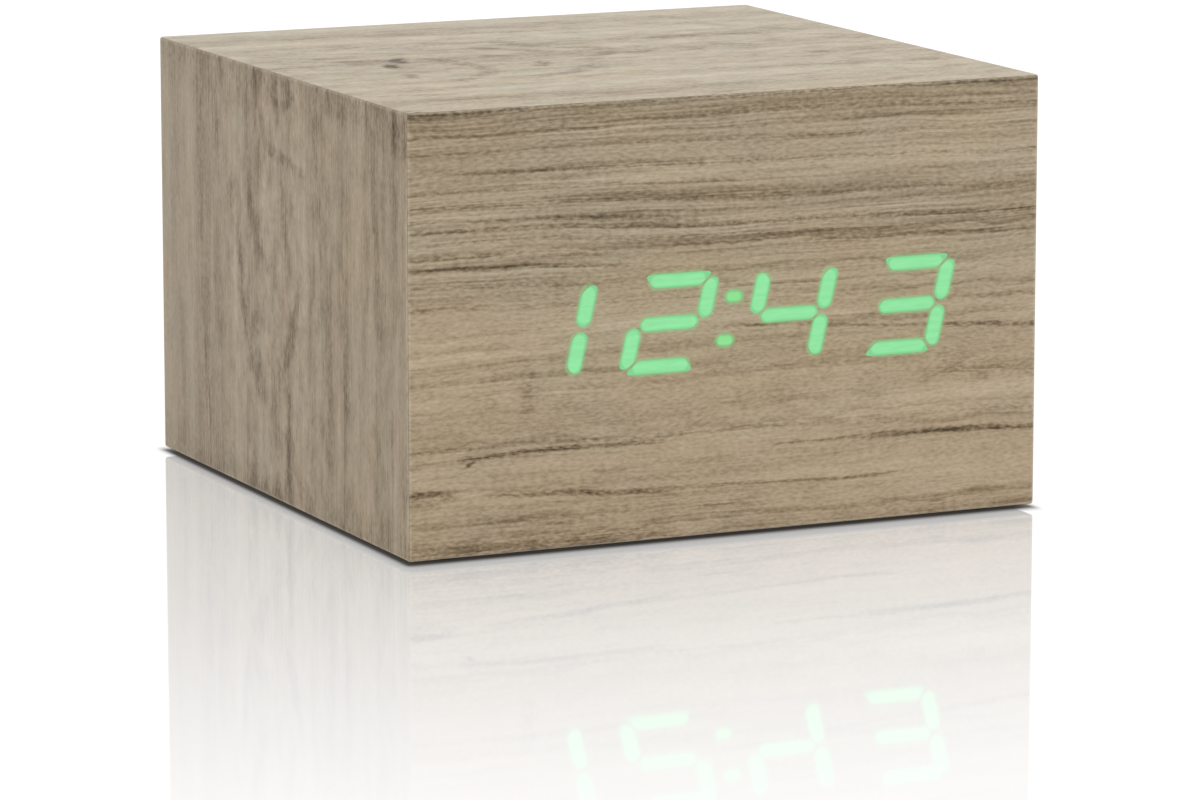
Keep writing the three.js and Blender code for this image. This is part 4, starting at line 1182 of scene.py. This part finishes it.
def make_plunger(name):
    node = f"tact_plunger_{name}"
    low, high = box(node)
    radius = (high.x - low.x) / 2
    profile = [(radius, low.y), (radius, high.y - 0.3), (radius - 0.25, high.y)]
    bm = turned(profile, spot_of(node), "y", 40)
    add(f"{node}_turned", bm, "black_abs", node, f"{name}_plunger")


def make_switch_knob():
    node = "slide_switch_knob"
    low, high = box(node)
    x, z = spot_of(node)
    base_end, crown = low.y + 2, high.y - 0.35
    wide, tall = KNOB_HALF
    knob = finish_mesh(f"{node}_moulded", block_mesh(low, (high.x, base_end, high.z), 0.15))
    shares = [(2 * step + 1) / KNOB_RIDGES - 1 for step in range(KNOB_RIDGES)]
    ridge_half, ridge_ends = (0.17, tall - 0.08), (crown - 0.4, high.y)
    ridges = [bar((x + wide * share, z), ridge_half, ridge_ends, 0.06) for share in shares]
    shape(knob, "UNION", bar((x, z), (wide, tall), (base_end - 0.5, crown), 0.1), *ridges)
    settle(knob, "black_button", node, "sound_switch")


def make_power_socket():
    low, high = box("power_socket")
    spot = spot_of("power_socket")
    body_end = PLATE_INNER - 0.4
    nose = [(SOCKET_NOSE, body_end - 0.5), (SOCKET_NOSE, high.y - 0.2), (SOCKET_NOSE - 0.2, high.y)]
    bore = [(SOCKET_BORE, high.y - 8), (SOCKET_BORE, high.y - 0.25), (SOCKET_BORE + 0.5, high.y + 0.25)]
    socket = finish_mesh("power_socket_moulded", block_mesh(low, (high.x, body_end, high.z), 0.2))
    shape(socket, "UNION", turned(nose, spot))
    shape(socket, "DIFFERENCE", turned(bore, spot))
    settle(socket, "black_abs", "power_socket")

    low, high = box("power_socket_pin")
    radius = (high.x - low.x) / 2
    tip = [(radius, high.y - 0.45), (radius * 0.85, high.y - 0.18), (radius * 0.5, high.y)]
    pin = turned([(radius, low.y)] + tip, spot, "y", 32)
    add("power_socket_pin_turned", pin, "nickel_plate", "power_socket_pin")


# ---- battery bay

DOOR_THICKNESS = 1.8
RIBS, RIB_STEP, RIB_HALF, RIB_TAPER = 6, 1.5, (9, 0.35), 0.9
TONGUE_PLACE, TONGUE_HALF, TONGUE_ROOT = 10.9, 3.0, -25.0
CONTACTS = {"positive": None, "first_pair": 1, "middle_pair": 2, "last_pair": 3, "negative": 4}
CONTACT_THICKNESS = 0.4
SPRING_WIRE, SPRING_WIDE, SPRING_NARROW = 0.28, 3.3, 2.3
SPRING_TURNS, SPRING_STEPS = 3, 120


def make_battery_door():
    """The door's plate with thumb ribs, and the two tongues that it hinges on."""
    low, high = box("battery_door")
    plate_top = low.z + DOOR_THICKNESS
    plate = slab((0, 0), (high.x, high.y), 0.8, eased(low.z, plate_top, 0.15, 2), "z")
    door = finish_mesh("battery_door_moulded", plate)
    rib_levels = [(low.z - 0.13, 0.12), (low.z - 0.05, 0.0), (low.z + 0.3, 0.0)]
    tools = []
    for step in range(RIBS):
        half = (RIB_HALF[0] - RIB_TAPER * step, RIB_HALF[1])
        tools.append(slab((0, high.y - 4 - RIB_STEP * step), half, 0.34, rib_levels, "z"))
    for middle in (-TONGUE_PLACE, TONGUE_PLACE):
        left, right = middle - TONGUE_HALF, middle + TONGUE_HALF
        for start, foot in ((-high.y, plate_top - 0.4), (low.y, high.z - 1)):
            tools.append(block_mesh((left, start, foot), (right, TONGUE_ROOT, high.z), 0.08))
    shape(door, "UNION", *tools)
    settle(door, "black_abs", "battery_door", "battery_lid")


def make_cell(number):
    """One cell: its printed sleeve, and the bare can with its positive nub."""
    node = f"battery_cell_{number}"
    low, high = box(node)
    way = 1 if number % 2 else -1
    middle, half = (low.y + high.y) / 2, (high.y - low.y) / 2
    radius = (high.x - low.x) / 2
    sleeve = [
        (radius - 0.5, 0.25 - half), (radius - 0.1, 0.3 - half), (radius, 0.6 - half),
        (radius, half - 1.6), (radius - 0.15, half - 1.2), (radius - 0.8, half - 0.95),
    ]
    can = [
        (1.6, -half), (4.2, -half), (4.6, 0.28 - half), (4.6, half - 1.0), (4.3, half - 0.9),
        (2.1, half - 0.9), (1.85, half - 0.75), (1.8, half - 0.15), (1.65, half),
    ]
    sleeve, can = (
        turned([(wide, middle + way * place) for wide, place in profile], spot_of(node))
        for profile in (sleeve, can)
    )
    printed = FINISHES["cell_sleeve" if way > 0 else "cell_sleeve_turned"]
    add(f"{node}_sleeve", sleeve, "cell_sleeve", node, CASE, printed)
    add(f"{node}_can", can, "nickel_plate")


def make_contact(name, sprung):
    """A contact's plate, with a conical spring on the cell whose negative end it holds."""
    node = f"battery_contact_{name}"
    low, high = box(node)
    side = 1 if low.y + high.y > 0 else -1
    wall_face, spring_end = (high.y, low.y) if side > 0 else (low.y, high.y)
    room_face = wall_face - side * CONTACT_THICKNESS
    ends = sorted((wall_face, room_face))
    plate = block_mesh((low.x, ends[0], low.z), (high.x, ends[1], high.z), 0.12)
    add(f"{node}_pressed", plate, "nickel_plate", node)
    if sprung is None:
        return
    x, z = spot_of(f"battery_cell_{sprung}")
    start, end = room_face - side * SPRING_WIRE, spring_end + side * SPRING_WIRE
    path = []
    for step in range(SPRING_STEPS + 1):
        t = step / SPRING_STEPS
        turn = 2 * math.pi * SPRING_TURNS * t
        radius = SPRING_WIDE + (SPRING_NARROW - SPRING_WIDE) * t
        place = (x + radius * math.cos(turn), start + (end - start) * t, z + radius * math.sin(turn))
        path.append(Vector(place))
    add(f"{node}_spring", tube(path, SPRING_WIRE), "nickel_plate")


# ---- everything else

# The inner parts by finish, and how far their edges are softened.
REFINED = [
    ("light_film", 0.0, ["diffuser_film"]),
    ("white_plastic", 0.0, ["segment_reflector"]),
    ("circuit_board", 0.0, ["display_board", "main_board"]),
    ("black_epoxy", 0.08, ["display_driver", "clock_chip"]),
    ("black_epoxy", 0.0, ["temperature_sensor"]),
    ("ribbon_grey", 0.0, ["display_ribbon"]),
    ("nickel_plate", 0.1, ["quartz_crystal"]),
    ("black_abs", 0.2, ["buzzer"]),
    ("black_abs", 0.12, ["backup_cell_holder"]),
    ("zinc_steel", 0.25, ["backup_cell"]),
    ("nickel_plate", 0.05, ["backup_cell_clip"]),
    ("zinc_steel", 0.1, ["microphone"]),
    ("zinc_steel", 0.12, ["tact_body_set", "tact_body_up", "tact_body_down", "slide_switch_shell"]),
    ("black_abs", 0.15, ["battery_box"]),
    ("lead_red", 0.0, ["battery_lead_positive"]),
    ("lead_black", 0.0, ["battery_lead_negative"]),
]

# ---- the floor

FLOOR_HALF = 4000.0
# The floor's even glow, and the dark colour of the contact shadow painted under the block.
LIT_COLOUR, PAINTED_SHADOW_COLOUR = (0.93, 0.93, 0.93), (0.028, 0.025, 0.022)
REFLECTION_REACH = 230.0
REFLECTION_STRENGTH = 1.42
MIRROR_IOR, MIRROR_ROUGHNESS = 1.9, 0.03
# Where the painted contact shadow reaches: its inset, softness and lean along X and Y.
SHADOW_INSET = (0.9, 2.3)
SHADOW_SOFTNESS = (2.1, 4.5)
SHADOW_LEAN = (1.2, 2.8)


def distance_past(finish, low, high, unit=(1.0, 1.0)):
    """Distance of the place on the floor outside a rectangle, in the units given for X and Y."""
    x, y, _ = finish.split(finish.row)
    past = []
    for place, start, end, scale in zip((x, y), low, high, unit):
        beyond = finish.math("MAXIMUM", finish.minus(start, place), finish.minus(place, end))
        past.append(finish.math("DIVIDE", finish.math("MAXIMUM", beyond, 0.0), scale))
    return finish.vector("LENGTH", finish.join(*past))


def make_floor():
    """A lit white table. It mirrors the block less and less with distance from it, and has a
    painted contact shadow under it, with a soft edge that leans to the right and back."""
    grey = (0.14, 0.14, 0.14, 1.0)
    floor = Finish("floor_white", {"Roughness": 1.0, "Specular IOR Level": 0.0, "Base Color": grey})
    low, high = (LEFT, FRONT), (RIGHT, BACK)
    shaded_low = [value + inset for value, inset in zip(low, SHADOW_INSET)]
    shaded_high = [value - inset + lean for value, inset, lean in zip(high, SHADOW_INSET, SHADOW_LEAN)]
    past_shade = distance_past(floor, shaded_low, shaded_high, SHADOW_SOFTNESS)
    # Painted contact shadow: the floor's glow turns dark under the block.
    lit = floor.remap(past_shade, 0.0, 1.0, smooth=True)
    floor.drive("Emission Color", floor.blend(lit, PAINTED_SHADOW_COLOUR, LIT_COLOUR))
    floor.drive("Emission Strength", 1.0)
    mirror = floor.node("BsdfGlossy", Color=(1.0, 1.0, 1.0, 1.0), Roughness=MIRROR_ROUGHNESS)
    fresnel = floor.node("Fresnel", IOR=MIRROR_IOR)
    fade = floor.remap(distance_past(floor, low, high), 0.0, REFLECTION_REACH, REFLECTION_STRENGTH, 0.0)
    share = floor.times(fresnel.outputs[0], floor.times(fade, lit), clamp=True)
    mix = floor.node("MixShader", share, floor.shader.outputs[0], mirror.outputs[0])
    floor.links.new(mix.outputs[0], floor.nodes["Material Output"].inputs["Surface"])
    bm = bmesh.new()
    bmesh.ops.create_grid(bm, x_segments=1, y_segments=1, size=FLOOR_HALF)
    piece = finish_mesh("floor", bm)
    piece.data.materials.append(floor.material)


make_camera()
make_world()
make_floor()
make_lamp()

FINISHES = other_materials()
make_case(wood_materials())
make_lit_segments()
for place in ("front_left", "front_right", "back_left", "back_right"):
    make_foot(f"foot_{place}")
make_rear_plate()
for name, kind in BUTTONS.items():
    make_button(name, kind)
    make_plunger(name)
make_switch_knob()
make_power_socket()
for number in (1, 2):
    make_screw(f"display_screw_{number}")
    make_screw(f"board_screw_{number}")
for number in range(1, 5):
    make_screw(f"rear_plate_screw_{number}", flat_head=True)
make_battery_door()
for number in range(1, 5):
    make_cell(number)
for name, sprung in CONTACTS.items():
    make_contact(name, sprung)
for slot, width, nodes in REFINED:
    for node in nodes:
        settle(refined(node, width * MM), slot, node)
